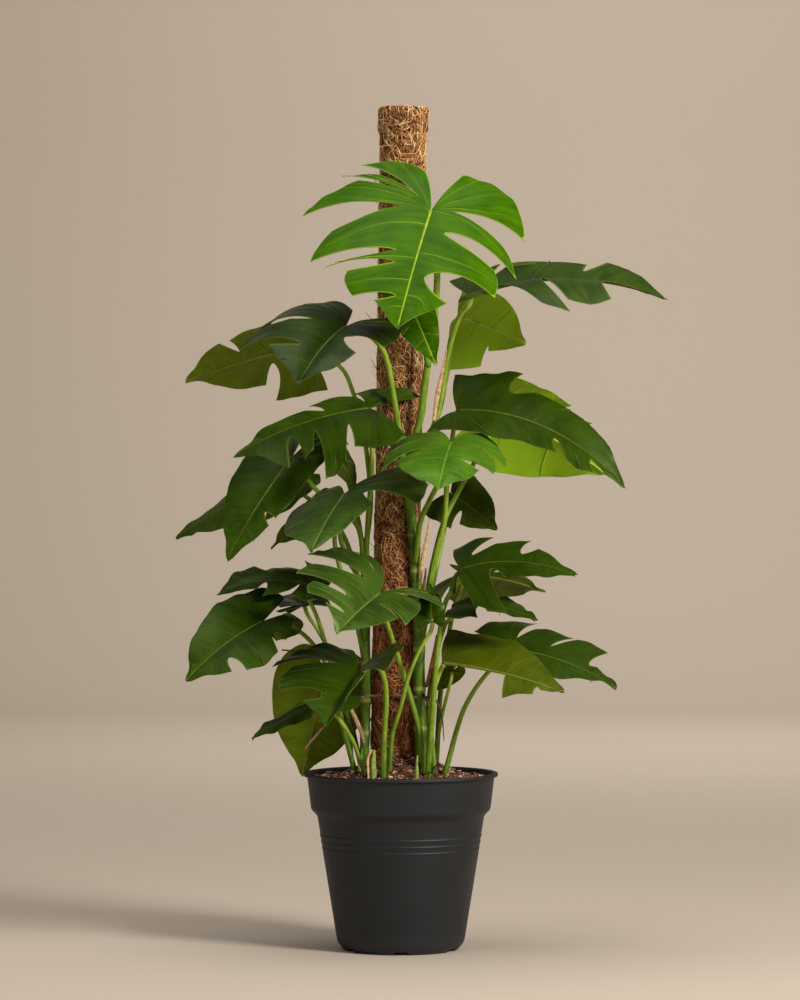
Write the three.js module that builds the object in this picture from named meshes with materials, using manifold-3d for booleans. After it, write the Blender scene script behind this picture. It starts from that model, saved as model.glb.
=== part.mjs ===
// Swiss cheese plant (Monstera deliciosa) on a coir pole, in a nursery pot.
// Millimetres, +Z up. The origin is the middle of the pot's underside, and -Y is the front.

import * as THREE from 'three';
import { mergeVertices } from 'three/addons/utils/BufferGeometryUtils.js';
import Module from 'manifold-3d';

const wasm = await Module();
wasm.setup();

// ---- driving dimensions ----

const clearance = 0.35; // gap kept between pieces that touch

const pot = {
  height: 247,
  lipRadius: 136,
  bandTopRadius: 131,
  bandFootRadius: 125.5,
  bandFootHeight: 195.5,
  stepRadius: 117,
  stepHeight: 187,
  ringHeights: [142, 151, 160],
  ringRelief: 0.9,
  ringHalfHeight: 1.5,
  bodyFootRadius: 89,
  bodyFootHeight: 10.6,
  footRadius: 80,
  footWidth: 7,
  floorHeight: 3,
  wall: 2,
  padRadius: 26,
  notchWidth: 17,
  notchHeight: 3.4,
  notchCount: 6,
  drainHoleRadius: 6,
  drainHoleCircle: 55,
  drainHoleCount: 6,
  drainHoleSides: 8,
  lipHeight: 5,
  lipRound: 1.5,
  segments: 32, // also of the soil, so that the soil's wall runs inside the pot's
};

const soil = {
  edgeHeight: 238,
  moundHeight: 42,
  moundRadius: 62,
  lumpHeight: 1.6,
  lumpSize: 9,
  lumpDrift: 20, // how fast the rows of lumps shift from left to right
  ringRadii: [128, 104, 80, 60, 40, 20],
};

const pole = {
  foot: new THREE.Vector3(-12.6, 0, 70),
  top: new THREE.Vector3(4, 0, 1178),
  radius: 31,
  headRadius: 34.5,
  headLength: 36,
  headRound: 5,
  lumpHeight: 1.1,
  lumpsRound: 3,
  lumpWaves: [41, 29], // lengths of the two waves along the sleeve
  rowHeight: 100,
  stakeRadius: 14,
  stakeShort: 40, // from the top of the sleeve down to the top of the stake
  sleeveStart: 40, // from the foot of the stake up to the foot of the sleeve
  holeLength: 200, // from the foot of the sleeve up through the soil
  segments: 24,
};

const stalk = {
  sides: 5,
  stemSides: 10,
  holeSides: 6,
  stepLength: 34,
  rootDepth: 45, // length in the soil
  holeRise: 30, // the hole is cut this far above the soil
  footHeights: [8, 20], // places on the straight foot, above the soil
  tipLength: 12, // straight end under the blade
  tipUp: 0.8, // slope of the straight end: this much up from the blade's joint
  tipAhead: 0.6, // and this much ahead
  ringProud: 1, // how far a node ring stands out of its stem
};

const blade = {
  thickness: 0.9,
  ribDepth: 1.3,
  fanAngle: 66, // side veins beyond this angle all start at the joint
  veinBend: 0.12,
  ribSteps: 7,
  tipRoot: 0.93, // the foremost side veins leave the midrib here
  rows: [0, 0.35, 1], // places along a side vein, from the cut's inner end to the margin
  cutWidths: [0, 0.7, 1], // share of the cut's width at each row
  columnAngle: 18,
  columnCrowding: 1.5, // draws the columns of the foremost lobe together at the tip
  cornerTrim: 0.2,
  hookLength: 0.08,
  curlReach: 0.6, // distance from the midrib at which a half has turned by its whole curl
  ribTaper: 0.8, // share of the midrib's depth that is gone at the tip
};

// Distance from the joint to the margin, for a midrib length of 1.
const heart = {
  atSide: 0.58,
  ahead: 0.34,
  aheadPower: 1.15,
  point: 0.08,
  pointAngle: 5,
  notch: 0.33,
  notchPower: 2.2,
};

const colours = {
  pot: 0x2b2a29,
  soil: 0x34231a,
  coir: 0x8a5f38,
  stake: 0xb58a56,
  stalk: 0x5d8a2c,
  deep: 0x2f521b, // grown leaves
  fresh: 0x4f8a1e, // the newest leaves
  dusky: 0x41643c, // leaves with a bluish bloom
};

// ---- solid helpers ----

function radians(degrees) {
  return (degrees * Math.PI) / 180;
}

function toSolid(geometry) {
  const bare = geometry.clone();
  for (const name of Object.keys(bare.attributes)) {
    if (name !== 'position') bare.deleteAttribute(name);
  }
  const merged = mergeVertices(bare, 1e-4);
  const corners = merged.index.array;
  const triangles = [];
  for (let i = 0; i < corners.length; i += 3) {
    const [a, b, c] = corners.slice(i, i + 3);
    if (a !== b && b !== c && c !== a) triangles.push(a, b, c);
  }
  return new wasm.Manifold(
    new wasm.Mesh({
      numProp: 3,
      vertProperties: new Float32Array(merged.attributes.position.array),
      triVerts: new Uint32Array(triangles),
    }),
  );
}

function toGeometry(solid) {
  const mesh = solid.getMesh();
  const geometry = new THREE.BufferGeometry();
  geometry.setAttribute('position', new THREE.BufferAttribute(mesh.vertProperties, 3));
  geometry.setIndex(new THREE.BufferAttribute(mesh.triVerts, 1));
  return geometry;
}

function joined(geometries) {
  let solid = toSolid(geometries[0]);
  for (const geometry of geometries.slice(1)) solid = solid.add(toSolid(geometry));
  return toGeometry(solid);
}

function cut(geometry, cutters) {
  let solid = toSolid(geometry);
  for (const cutter of cutters) solid = solid.subtract(toSolid(cutter));
  return toGeometry(solid);
}

// A solid turned about +Z from [radius, height] pairs.
function turned(profile, segments) {
  const points = profile.map(([radius, height]) => new THREE.Vector2(radius, height));
  return new THREE.LatheGeometry(points, segments).rotateX(Math.PI / 2);
}

// A straight round pin from one point to another.
function pin(from, to, radius, sides) {
  const direction = to.clone().sub(from);
  const turn = new THREE.Quaternion().setFromUnitVectors(
    new THREE.Vector3(0, 1, 0),
    direction.clone().normalize(),
  );
  const middle = from.clone().add(to).multiplyScalar(0.5);
  return new THREE.CylinderGeometry(radius, radius, direction.length(), sides)
    .applyQuaternion(turn)
    .translate(middle.x, middle.y, middle.z);
}

// A closed round rod along a smooth curve through the points, tapered from one radius to another.
function rod(points, [startRadius, endRadius], sides) {
  const curve = new THREE.CatmullRomCurve3(points, false, 'centripetal');
  const steps = Math.ceil(curve.getLength() / stalk.stepLength);
  const frames = curve.computeFrenetFrames(steps, false);
  const positions = [];
  const index = [];
  for (let i = 0; i <= steps; i += 1) {
    const centre = curve.getPointAt(i / steps);
    const radius = THREE.MathUtils.lerp(startRadius, endRadius, i / steps);
    for (let j = 0; j < sides; j += 1) {
      const turn = (j / sides) * Math.PI * 2;
      const point = centre
        .clone()
        .addScaledVector(frames.normals[i], Math.cos(turn) * radius)
        .addScaledVector(frames.binormals[i], Math.sin(turn) * radius);
      positions.push(point.x, point.y, point.z);
    }
  }
  for (let i = 0; i < steps; i += 1) {
    for (let j = 0; j < sides; j += 1) {
      const a = i * sides + j;
      const b = i * sides + ((j + 1) % sides);
      index.push(a, b, a + sides, b, b + sides, a + sides);
    }
  }
  for (let j = 1; j < sides - 1; j += 1) {
    index.push(0, j + 1, j);
    index.push(steps * sides, steps * sides + j, steps * sides + j + 1);
  }
  const geometry = new THREE.BufferGeometry();
  geometry.setAttribute('position', new THREE.Float32BufferAttribute(positions, 3));
  geometry.setIndex(index);
  return geometry;
}

function material(colour, roughness) {
  return new THREE.MeshStandardMaterial({ color: colour, roughness, metalness: 0 });
}

// ---- leaf blades ----
// A blade is drawn flat, with its stalk joint at the origin, its midrib along +Y and a midrib
// length of 1. Side veins run from the midrib to the margin. Each margin place is named by its
// angle at the joint, from 0 at the tip to back at the rear of the heart. Cuts follow the veins
// in from the margin and part the blade in lobes. The flat blade is then bent and placed.
//
// joint, tip: ends of the midrib. face: rough direction of the upper side.
// right, left: angles of the cuts on each side, seen from above with the tip ahead.
// width, fold, curl, back: [right, left] half width, rise of each half at the midrib, its
// downward curl and the angle at which its margin starts. droop: arch of the midrib.
// depth: how far in the cuts start. gap: cut width in degrees. tint: colour, deep if not given.
// rightLift, leftLift: how far each lobe rises at its margin, from the rear to the tip.
// rightReach, leftReach: how long each lobe is, in the same order, 1 if not given.
// rightGap, leftGap: the width of each cut in turn, gap if not given.

const leaves = [
  {
    name: 'leaf_top', joint: [41, -108, 1025], tip: [-4, -228, 858], face: [-0.06, -0.78, 0.62],
    width: [1.35, 1.1], fold: [6, 8], curl: [24, 40], droop: 14, back: [168, 160],
    right: [136, 122, 76, 41, 34, 14], left: [79, 55, 27], depth: 0.24, gap: 5, tint: 'fresh',
    rightGap: [5, 4, 28, 6, 7, 5], rightReach: [1.16, 1.04, 1.06, 1.05, 0.98, 1.03, 1.06],
    leftGap: [22, 9, 18], leftReach: [0.95, 1.08, 1.16, 1.25],
  },
  {
    name: 'leaf_upper_back', joint: [80, 55, 890], tip: [179, 100, 850], face: [-0.3, 0.75, 0.6],
    width: [0.95, 1.35], fold: [0, 0], curl: [15, 15], droop: 20, back: [106, 66],
    right: [], left: [28], depth: 0.5, gap: 4,
    rightReach: [0.9], leftReach: [0.95, 0.5],
  },
  {
    name: 'leaf_upper_right', joint: [95, -35, 914], tip: [368, -80, 904], face: [0, 0.16, 0.98],
    width: [0.62, 0.8], fold: [-10, 34], curl: [72, 6], droop: 44, back: [96, 98],
    right: [60, 44, 18], left: [62, 30], depth: 0.3, gap: 5,
    rightGap: [10, 4, 12], rightReach: [0.4, 1.4, 1.5, 0.6], leftReach: [0.6, 0.55, 1.05],
  },
  {
    name: 'leaf_right_high', joint: [77, -52, 753], tip: [307, -112, 643], face: [0.15, -0.55, 0.8],
    width: [0.36, 0.66], fold: [0, 20], curl: [20, 30], droop: 64, back: [98, 102],
    right: [30, 13], left: [54], depth: 0.4, gap: 5,
    rightReach: [1.08, 1.42, 0.8], leftGap: [14], leftReach: [0.76, 0.36],
  },
  {
    name: 'leaf_right_back', joint: [136, 36, 753], tip: [292, 64, 664], face: [0.25, 0.8, 0.5],
    width: [0.7, 0.95], fold: [0, 0], curl: [20, 10], droop: 30, back: [98, 112],
    right: [45, 26], left: [], depth: 0.36, gap: 6,
    rightReach: [1, 1.12, 1.2], leftReach: [0.95],
  },
  {
    name: 'leaf_middle_front', joint: [68, -156, 708], tip: [50, -270, 641], face: [0, -0.5, 0.86],
    width: [1.3, 1.05], fold: [6, 4], curl: [40, 48], droop: 20, back: [156, 156],
    right: [84, 52], left: [74, 40], depth: 0.35, gap: 9, tint: 'dusky',
  },
  {
    name: 'leaf_left_high', joint: [-75, -125, 867], tip: [-137, -245, 781], face: [-0.1, -0.5, 0.86],
    width: [1.5, 0.9], fold: [34, 8], curl: [60, 26], droop: 30, back: [168, 140],
    right: [84, 56, 28], left: [48], depth: 0.3, gap: 6,
    rightGap: [5, 6, 8], rightReach: [0.95, 1.1, 1.18, 1.05], leftGap: [22], leftReach: [0.98, 1.1],
  },
  {
    name: 'leaf_far_left_high', joint: [-146, 30, 844], tip: [-307, 95, 796], face: [-0.1, 0.75, 0.6],
    width: [0.7, 0.72], fold: [4, 4], curl: [16, 26], droop: 14, back: [94, 150],
    right: [51], left: [37], depth: 0.3, gap: 6,
    rightGap: [10], rightReach: [1.2, 1.12], leftReach: [0.68, 1.05],
  },
  {
    name: 'leaf_young_front', joint: [10, -76, 904], tip: [49, -100, 812], face: [0, -0.9, 0.4],
    width: [0.55, 0.52], fold: [4, 4], curl: [20, 20], droop: 16, back: [150, 104],
    right: [], left: [], depth: 0.5, gap: 8, tint: 'fresh',
  },
  {
    name: 'leaf_left_upper', joint: [-45, -75, 756], tip: [-230, -120, 687], face: [-0.2, -0.34, 0.93],
    width: [0.24, 1.1], fold: [34, -10], curl: [24, 40], droop: 26, back: [140, 110],
    right: [84, 50], left: [56, 39, 27], depth: 0.3, gap: 6,
    rightReach: [1.1, 0.9, 1], leftGap: [5, 5, 8], leftReach: [0.64, 1.05, 0.78, 1.4],
  },
  {
    name: 'leaf_left_inner', joint: [-100, 22, 708], tip: [-62, 12, 639], face: [0.3, -0.8, 0.5],
    width: [0.55, 0.5], fold: [4, 4], curl: [24, 24], droop: 24, back: [150, 150],
    right: [80], left: [70], depth: 0.4, gap: 9,
  },
  {
    name: 'leaf_left_hanging', joint: [-150, -75, 689], tip: [-237, -130, 545], face: [-0.25, -0.8, 0.5],
    width: [0.7, 0.55], fold: [-4, -6], curl: [20, 20], droop: 24, back: [160, 150],
    right: [], left: [33], depth: 0.4, gap: 6,
    leftReach: [0.74, 1.05],
  },
  {
    name: 'leaf_far_left_low', joint: [-177, 25, 656], tip: [-319, 60, 573], face: [-0.3, -0.5, 0.8],
    width: [0.6, 0.6], fold: [-10, -10], curl: [30, 30], droop: 16, back: [150, 150],
    right: [70], left: [70], depth: 0.4, gap: 8,
  },
  {
    name: 'leaf_centre_left', joint: [-77, -115, 638], tip: [-119, -225, 559], face: [-0.1, -0.6, 0.8],
    width: [1.2, 1.15], fold: [-14, 22], curl: [24, 20], droop: 20, back: [150, 150],
    right: [92], left: [62], depth: 0.4, gap: 9, tint: 'dusky',
    rightGap: [2], rightReach: [0.62, 1], leftGap: [22], leftReach: [1.25, 0.8],
  },
  {
    name: 'leaf_under_left', joint: [-99, -5, 621], tip: [-183, 25, 559], face: [-0.2, 0.6, 0.78],
    width: [0.6, 0.45], fold: [4, 4], curl: [16, 16], droop: 20, back: [96, 100],
    right: [70], left: [70], depth: 0.4, gap: 7,
  },
  {
    name: 'leaf_left_split', joint: [-136, -25, 515], tip: [-256, -35, 496], face: [-0.1, -0.3, 0.95],
    width: [0.95, 0.6], fold: [18, -6], curl: [24, 30], droop: 40, back: [168, 168],
    right: [92, 46], left: [70, 40], depth: 0.28, gap: 8,
    rightGap: [4, 16], rightReach: [0.85, 1.3, 1], rightLift: [0, -0.22, 0],
  },
  {
    name: 'leaf_lower_left', joint: [-190, -70, 462], tip: [-292, -150, 381], face: [-0.3, -0.65, 0.7],
    width: [0.66, 0.95], fold: [28, 4], curl: [26, 30], droop: 30, back: [150, 160],
    right: [], left: [62, 28], depth: 0.55, gap: 6,
    leftGap: [2, 9], leftReach: [0.5, 1.06, 1.4],
  },
  {
    name: 'leaf_lower_left_back', joint: [-134, 10, 481], tip: [-190, 110, 485], face: [-0.1, -0.2, 0.97],
    width: [0.5, 0.6], fold: [4, 4], curl: [22, 22], droop: 24, back: [116, 108],
    right: [80], left: [80], depth: 0.4, gap: 8,
  },
  {
    name: 'leaf_centre_low', joint: [-28, -112, 501], tip: [-86, -210, 448], face: [0.22, -0.7, 0.7],
    width: [1.35, 0.9], fold: [28, 24], curl: [34, 24], droop: 24, back: [160, 146],
    right: [136, 64, 34, 17], left: [100, 49], depth: 0.3, gap: 6, tint: 'dusky',
    rightGap: [4, 14, 6, 5], rightReach: [1.15, 1.08, 1.3, 1.4, 1.4],
    leftGap: [16, 4], leftReach: [1.3, 1.12, 1.25],
  },
  {
    name: 'leaf_centre_small', joint: [43, -94, 462], tip: [40, -57, 512], face: [0, -0.75, 0.66],
    width: [0.5, 0.6], fold: [4, 4], curl: [24, 24], droop: 20, back: [112, 112],
    right: [], left: [], depth: 0.4, gap: 8,
  },
  {
    name: 'leaf_low_front', joint: [-60, -115, 393], tip: [-101, -205, 323], face: [-0.1, -0.6, 0.8],
    width: [1.25, 0.9], fold: [20, 40], curl: [26, 16], droop: 26, back: [160, 150],
    right: [75, 27], left: [58], depth: 0.35, gap: 6,
    rightGap: [14, 14], rightReach: [1.25, 1.25, 1.3], leftReach: [1.15, 0.2],
  },
  {
    name: 'leaf_low_left_drooping', joint: [-104, -78, 352], tip: [-204, -118, 301], face: [-0.2, -0.3, 0.93],
    width: [0.6, 0.6], fold: [-6, -6], curl: [30, 30], droop: 20, back: [168, 168],
    right: [60], left: [60], depth: 0.4, gap: 8,
  },
  {
    name: 'leaf_low_left_back', joint: [-107, 25, 372], tip: [-140, 70, 236], face: [0, 0.9, 0.4],
    width: [0.84, 0.84], fold: [2, 2], curl: [14, 14], droop: 20, back: [150, 150],
    right: [], left: [], depth: 0.4, gap: 8,
  },
  {
    name: 'leaf_middle_right_inner', joint: [70, 22, 639], tip: [135, 5, 586], face: [0.1, -0.85, 0.5],
    width: [1.0, 0.9], fold: [4, 4], curl: [24, 24], droop: 20, back: [104, 110],
    right: [45], left: [], depth: 0.35, gap: 9,
  },
  {
    name: 'leaf_right_low_twisted', joint: [82, -64, 534], tip: [242, -100, 523], face: [0.05, -0.35, 0.93],
    width: [0.62, 0.6], fold: [-10, 20], curl: [40, 24], droop: 44, back: [98, 100],
    right: [84, 50], left: [64, 34], depth: 0.35, gap: 10,
    rightReach: [0.8, 1.35, 1], rightLift: [0, -0.1, 0],
  },
  {
    name: 'leaf_right_low_back', joint: [87, 8, 525], tip: [206, 75, 497], face: [0.15, 0.7, 0.7],
    width: [0.35, 0.95], fold: [-4, 6], curl: [20, 20], droop: 24, back: [120, 120],
    right: [80, 48], left: [80, 48], depth: 0.4, gap: 8,
  },
  {
    name: 'leaf_right_low_thin', joint: [70, -50, 478], tip: [187, -100, 461], face: [0, -0.2, 0.97],
    width: [0.6, 0.66], fold: [-4, 10], curl: [30, 24], droop: 50, back: [84, 95],
    right: [44], left: [80, 44], depth: 0.3, gap: 10,
  },
  {
    name: 'leaf_low_right_big', joint: [57, -60, 404], tip: [223, -140, 365], face: [0.1, -0.6, 0.8],
    width: [0.7, 0.74], fold: [-6, 8], curl: [20, 20], droop: 20, back: [31, 104],
    right: [11], left: [], depth: 0.4, gap: 4,
    rightReach: [0.88, 0.35], leftReach: [0.93],
  },
  {
    name: 'leaf_low_right_far', joint: [153, -55, 423], tip: [297, -100, 369], face: [0.1, -0.4, 0.9],
    width: [0.4, 0.7], fold: [-10, 14], curl: [30, 24], droop: 30, back: [60, 140],
    right: [], left: [84, 49, 20], depth: 0.35, gap: 5,
    rightReach: [1.2], leftGap: [14, 4, 8], leftReach: [1.25, 1, 1.35, 0.5],
  },
  {
    name: 'leaf_low_right_small', joint: [72, -45, 391], tip: [46, -20, 360], face: [0.2, 0.8, 0.5],
    width: [0.6, 0.6], fold: [4, 4], curl: [20, 20], droop: 20, back: [168, 168],
    right: [], left: [], depth: 0.4, gap: 8,
  },
];

// Distance from the joint to the margin: a heart with a small drawn-out point.
function marginRadius(angle) {
  const ahead = Math.max(0, 1 - Math.sin(radians(Math.min(angle, 90))));
  const behind = Math.max(0, angle - 90) / 90;
  const front = heart.ahead * ahead ** heart.aheadPower;
  const point = heart.point * Math.exp(-((angle / heart.pointAngle) ** 2));
  return heart.atSide + front + point - heart.notch * behind ** heart.notchPower;
}

// Where the side vein of a margin place leaves the midrib.
function veinRoot(angle) {
  return angle >= blade.fanAngle ? 0 : blade.tipRoot * (1 - angle / blade.fanAngle) ** 0.9;
}

// A place on the flat blade. reach runs along the side vein, from 0 at the midrib to 1 at the margin.
function flatPoint(leaf, side, angle, reach) {
  const radius = marginRadius(angle);
  const endX = Math.sin(radians(angle)) * radius * leaf.width[side];
  const endY = Math.cos(radians(angle)) * radius;
  const rootY = veinRoot(angle);
  const bend = blade.veinBend * Math.sin(radians(Math.min(angle, 90)));
  const midX = endX / 2 + (endY - rootY) * bend * 0.5;
  const midY = (endY + rootY) / 2 - endX * bend;
  const rootPart = (1 - reach) * (1 - reach);
  const midPart = 2 * reach * (1 - reach);
  const endPart = reach * reach;
  return [midPart * midX + endPart * endX, rootPart * rootY + midPart * midY + endPart * endY];
}

// Bends a flat point: across by fold, twist and curl, along by droop, and raises it by lift.
function bentPoint(leaf, side, [x, y], lift) {
  const sign = side === 0 ? 1 : -1;
  const start = radians(leaf.fold[side] + sign * (leaf.twist ?? 0) * y);
  const bend = -radians(leaf.curl[side]) / blade.curlReach;
  const across = (Math.sin(start + bend * x) - Math.sin(start)) / bend;
  const rise = (Math.cos(start) - Math.cos(start + bend * x)) / bend + lift;
  const arch = radians(leaf.droop);
  const slope = arch * (y - 0.5);
  const along = (Math.sin(slope) + Math.sin(arch / 2)) / arch;
  const height = (Math.cos(slope) - Math.cos(arch / 2)) / arch;
  return new THREE.Vector3(
    sign * across,
    along + rise * Math.sin(slope),
    height + rise * Math.cos(slope),
  );
}

function leafFrame(leaf) {
  const joint = new THREE.Vector3(...leaf.joint);
  const ahead = new THREE.Vector3(...leaf.tip).sub(joint);
  const chord = ahead.length();
  ahead.normalize();
  const right = ahead.clone().cross(new THREE.Vector3(...leaf.face)).normalize();
  const up = right.clone().cross(ahead);
  const half = radians(leaf.droop) / 2;
  const size = (chord * half) / Math.sin(half);
  const slope = Math.sin(half);
  const flat = Math.cos(half);
  const riseAhead = ahead.clone().multiplyScalar(flat).addScaledVector(up, slope);
  const riseUp = up.clone().multiplyScalar(flat).addScaledVector(ahead, -slope);
  return { joint, ahead, right, up, size, riseAhead, riseUp };
}

// The lobes of one half, from the back of the heart to the tip.
function lobesOf(leaf, side) {
  const cuts = side === 0 ? leaf.right : leaf.left;
  const lifts = (side === 0 ? leaf.rightLift : leaf.leftLift) ?? [];
  const reaches = (side === 0 ? leaf.rightReach : leaf.leftReach) ?? [];
  const gaps = (side === 0 ? leaf.rightGap : leaf.leftGap) ?? [];
  const edges = [leaf.back[side], ...cuts, 0];
  return edges.slice(1).map((end, i) => ({
    start: edges[i],
    end,
    cutAtStart: i > 0,
    cutAtEnd: i < cuts.length,
    startGap: i > 0 ? gaps[i - 1] ?? leaf.gap : 0,
    endGap: i < cuts.length ? gaps[i] ?? leaf.gap : 0,
    lift: lifts[i] ?? 0,
    length: reaches[i] ?? 1,
    columns: Math.max(2, Math.round((edges[i] - end) / blade.columnAngle)),
  }));
}

// Share of a lobe's angle that lies behind a column.
function columnShare(lobe, column) {
  const even = column / lobe.columns;
  return lobe.cutAtEnd ? even : 1 - (1 - even) ** blade.columnCrowding;
}

// Middle surface of a blade as points and triangles. Points that meet share one entry.
function bladeSheet(leaf) {
  const points = [];
  const onRib = [];
  const triangles = [];
  const seen = new Map();
  const lastRow = blade.rows.length - 1;

  function keep(key, side, flat, lift) {
    const rib = flat[0] < 1e-6;
    const name = rib ? `rib ${flat[1].toFixed(4)}` : key;
    if (!seen.has(name)) {
      seen.set(name, points.length);
      points.push(bentPoint(leaf, side, flat, lift));
      onRib.push(rib);
    }
    return seen.get(name);
  }

  function place(side, lobe, column, row) {
    const even = column / lobe.columns;
    const across = columnShare(lobe, column);
    const atStart = column === 0 && lobe.cutAtStart;
    const atEnd = column === lobe.columns && lobe.cutAtEnd;
    const angle = THREE.MathUtils.lerp(lobe.start, lobe.end, across);
    const open = blade.cutWidths[row] / 2;
    const from = lobe.start - lobe.startGap * open;
    const to = lobe.end + lobe.endGap * open;
    const share = blade.rows[row];
    let reach = leaf.depth + (1 - leaf.depth) * share;
    if (row === lastRow && lobe.cutAtStart) reach -= blade.cornerTrim * (1 - even) ** 2;
    if (row === lastRow && lobe.cutAtEnd) reach += blade.hookLength * even ** 3;
    const longer = (lobe.length - 1) * (lobe.cutAtEnd ? 1 : 1 - across);
    const stretch = 1 + longer * share * share;
    const flat = flatPoint(leaf, side, THREE.MathUtils.lerp(from, to, across), reach * stretch);
    const key = `${side} ${row} ${angle} ${row === 0 || atStart || !atEnd}`;
    return keep(key, side, flat, lobe.lift * share * share);
  }

  function addTriangle(side, [a, b, c]) {
    if (a === b || b === c || c === a) return;
    triangles.push(side === 0 ? [a, b, c] : [a, c, b]);
  }

  // Triangles between the midrib and the cuts' inner ends, from the joint to the tip.
  function fillToRib(side, inner) {
    const step = blade.tipRoot / blade.ribSteps;
    const rib = Array.from({ length: blade.ribSteps + 1 }, (_, i) => keep('', side, [0, i * step], 0));
    let i = 0;
    let j = 0;
    while (i < blade.ribSteps || j < inner.length - 1) {
      const innerDone = j === inner.length - 1;
      if (i < blade.ribSteps && (innerDone || (i + 0.5) * step < inner[j + 1][1])) {
        addTriangle(side, [rib[i], inner[j][0], rib[i + 1]]);
        i += 1;
      } else {
        addTriangle(side, [rib[i], inner[j][0], inner[j + 1][0]]);
        j += 1;
      }
    }
  }

  for (const side of [0, 1]) {
    const inner = [];
    for (const lobe of lobesOf(leaf, side)) {
      for (let column = 0; column <= lobe.columns; column += 1) {
        const angle = THREE.MathUtils.lerp(lobe.start, lobe.end, columnShare(lobe, column));
        inner.push([place(side, lobe, column, 0), veinRoot(angle)]);
        if (column === lobe.columns) continue;
        for (let row = 0; row < lastRow; row += 1) {
          const a = place(side, lobe, column, row);
          const b = place(side, lobe, column, row + 1);
          const c = place(side, lobe, column + 1, row + 1);
          const d = place(side, lobe, column + 1, row);
          addTriangle(side, [a, b, c]);
          addTriangle(side, [a, c, d]);
        }
      }
    }
    fillToRib(side, inner);
  }
  return { points, onRib, triangles };
}

// Gives a sheet its thickness. Both faces have the same triangles, and a rim joins them.
function thickened(sheet, size) {
  const { points, onRib, triangles } = sheet;
  const normals = points.map(() => new THREE.Vector3());
  const edges = new Map();
  for (const [a, b, c] of triangles) {
    const normal = points[b].clone().sub(points[a]).cross(points[c].clone().sub(points[a]));
    for (const corner of [a, b, c]) normals[corner].add(normal);
    for (const [p, q] of [[a, b], [b, c], [c, a]]) {
      if (edges.has(`${q}_${p}`)) edges.delete(`${q}_${p}`);
      else edges.set(`${p}_${q}`, [p, q]);
    }
  }
  const half = blade.thickness / 2 / size;
  const upper = [];
  const lower = [];
  points.forEach((point, i) => {
    const normal = normals[i].normalize();
    const ribShare = onRib[i] ? 1 - blade.ribTaper * Math.max(0, point.y) : 0;
    const below = half + (blade.ribDepth * ribShare) / size;
    upper.push(point.clone().addScaledVector(normal, half));
    lower.push(point.clone().addScaledVector(normal, -below));
  });
  const count = points.length;
  const index = [];
  for (const [a, b, c] of triangles) index.push(a, b, c, a + count, c + count, b + count);
  for (const [a, b] of edges.values()) index.push(a, a + count, b, b, a + count, b + count);
  return { corners: [...upper, ...lower], index };
}

function leafBlade(leaf) {
  const frame = leafFrame(leaf);
  const { corners, index } = thickened(bladeSheet(leaf), frame.size);
  const positions = [];
  for (const corner of corners) {
    const point = frame.joint
      .clone()
      .addScaledVector(frame.right, corner.x * frame.size)
      .addScaledVector(frame.ahead, corner.y * frame.size)
      .addScaledVector(frame.up, corner.z * frame.size);
    positions.push(point.x, point.y, point.z);
  }
  const geometry = new THREE.BufferGeometry();
  geometry.setAttribute('position', new THREE.Float32BufferAttribute(positions, 3));
  geometry.setIndex(index);
  return geometry;
}

// ---- stems and leaf stalks ----
// A path is a list of points on the way up. radius: [at the foot, at the blade].

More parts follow.
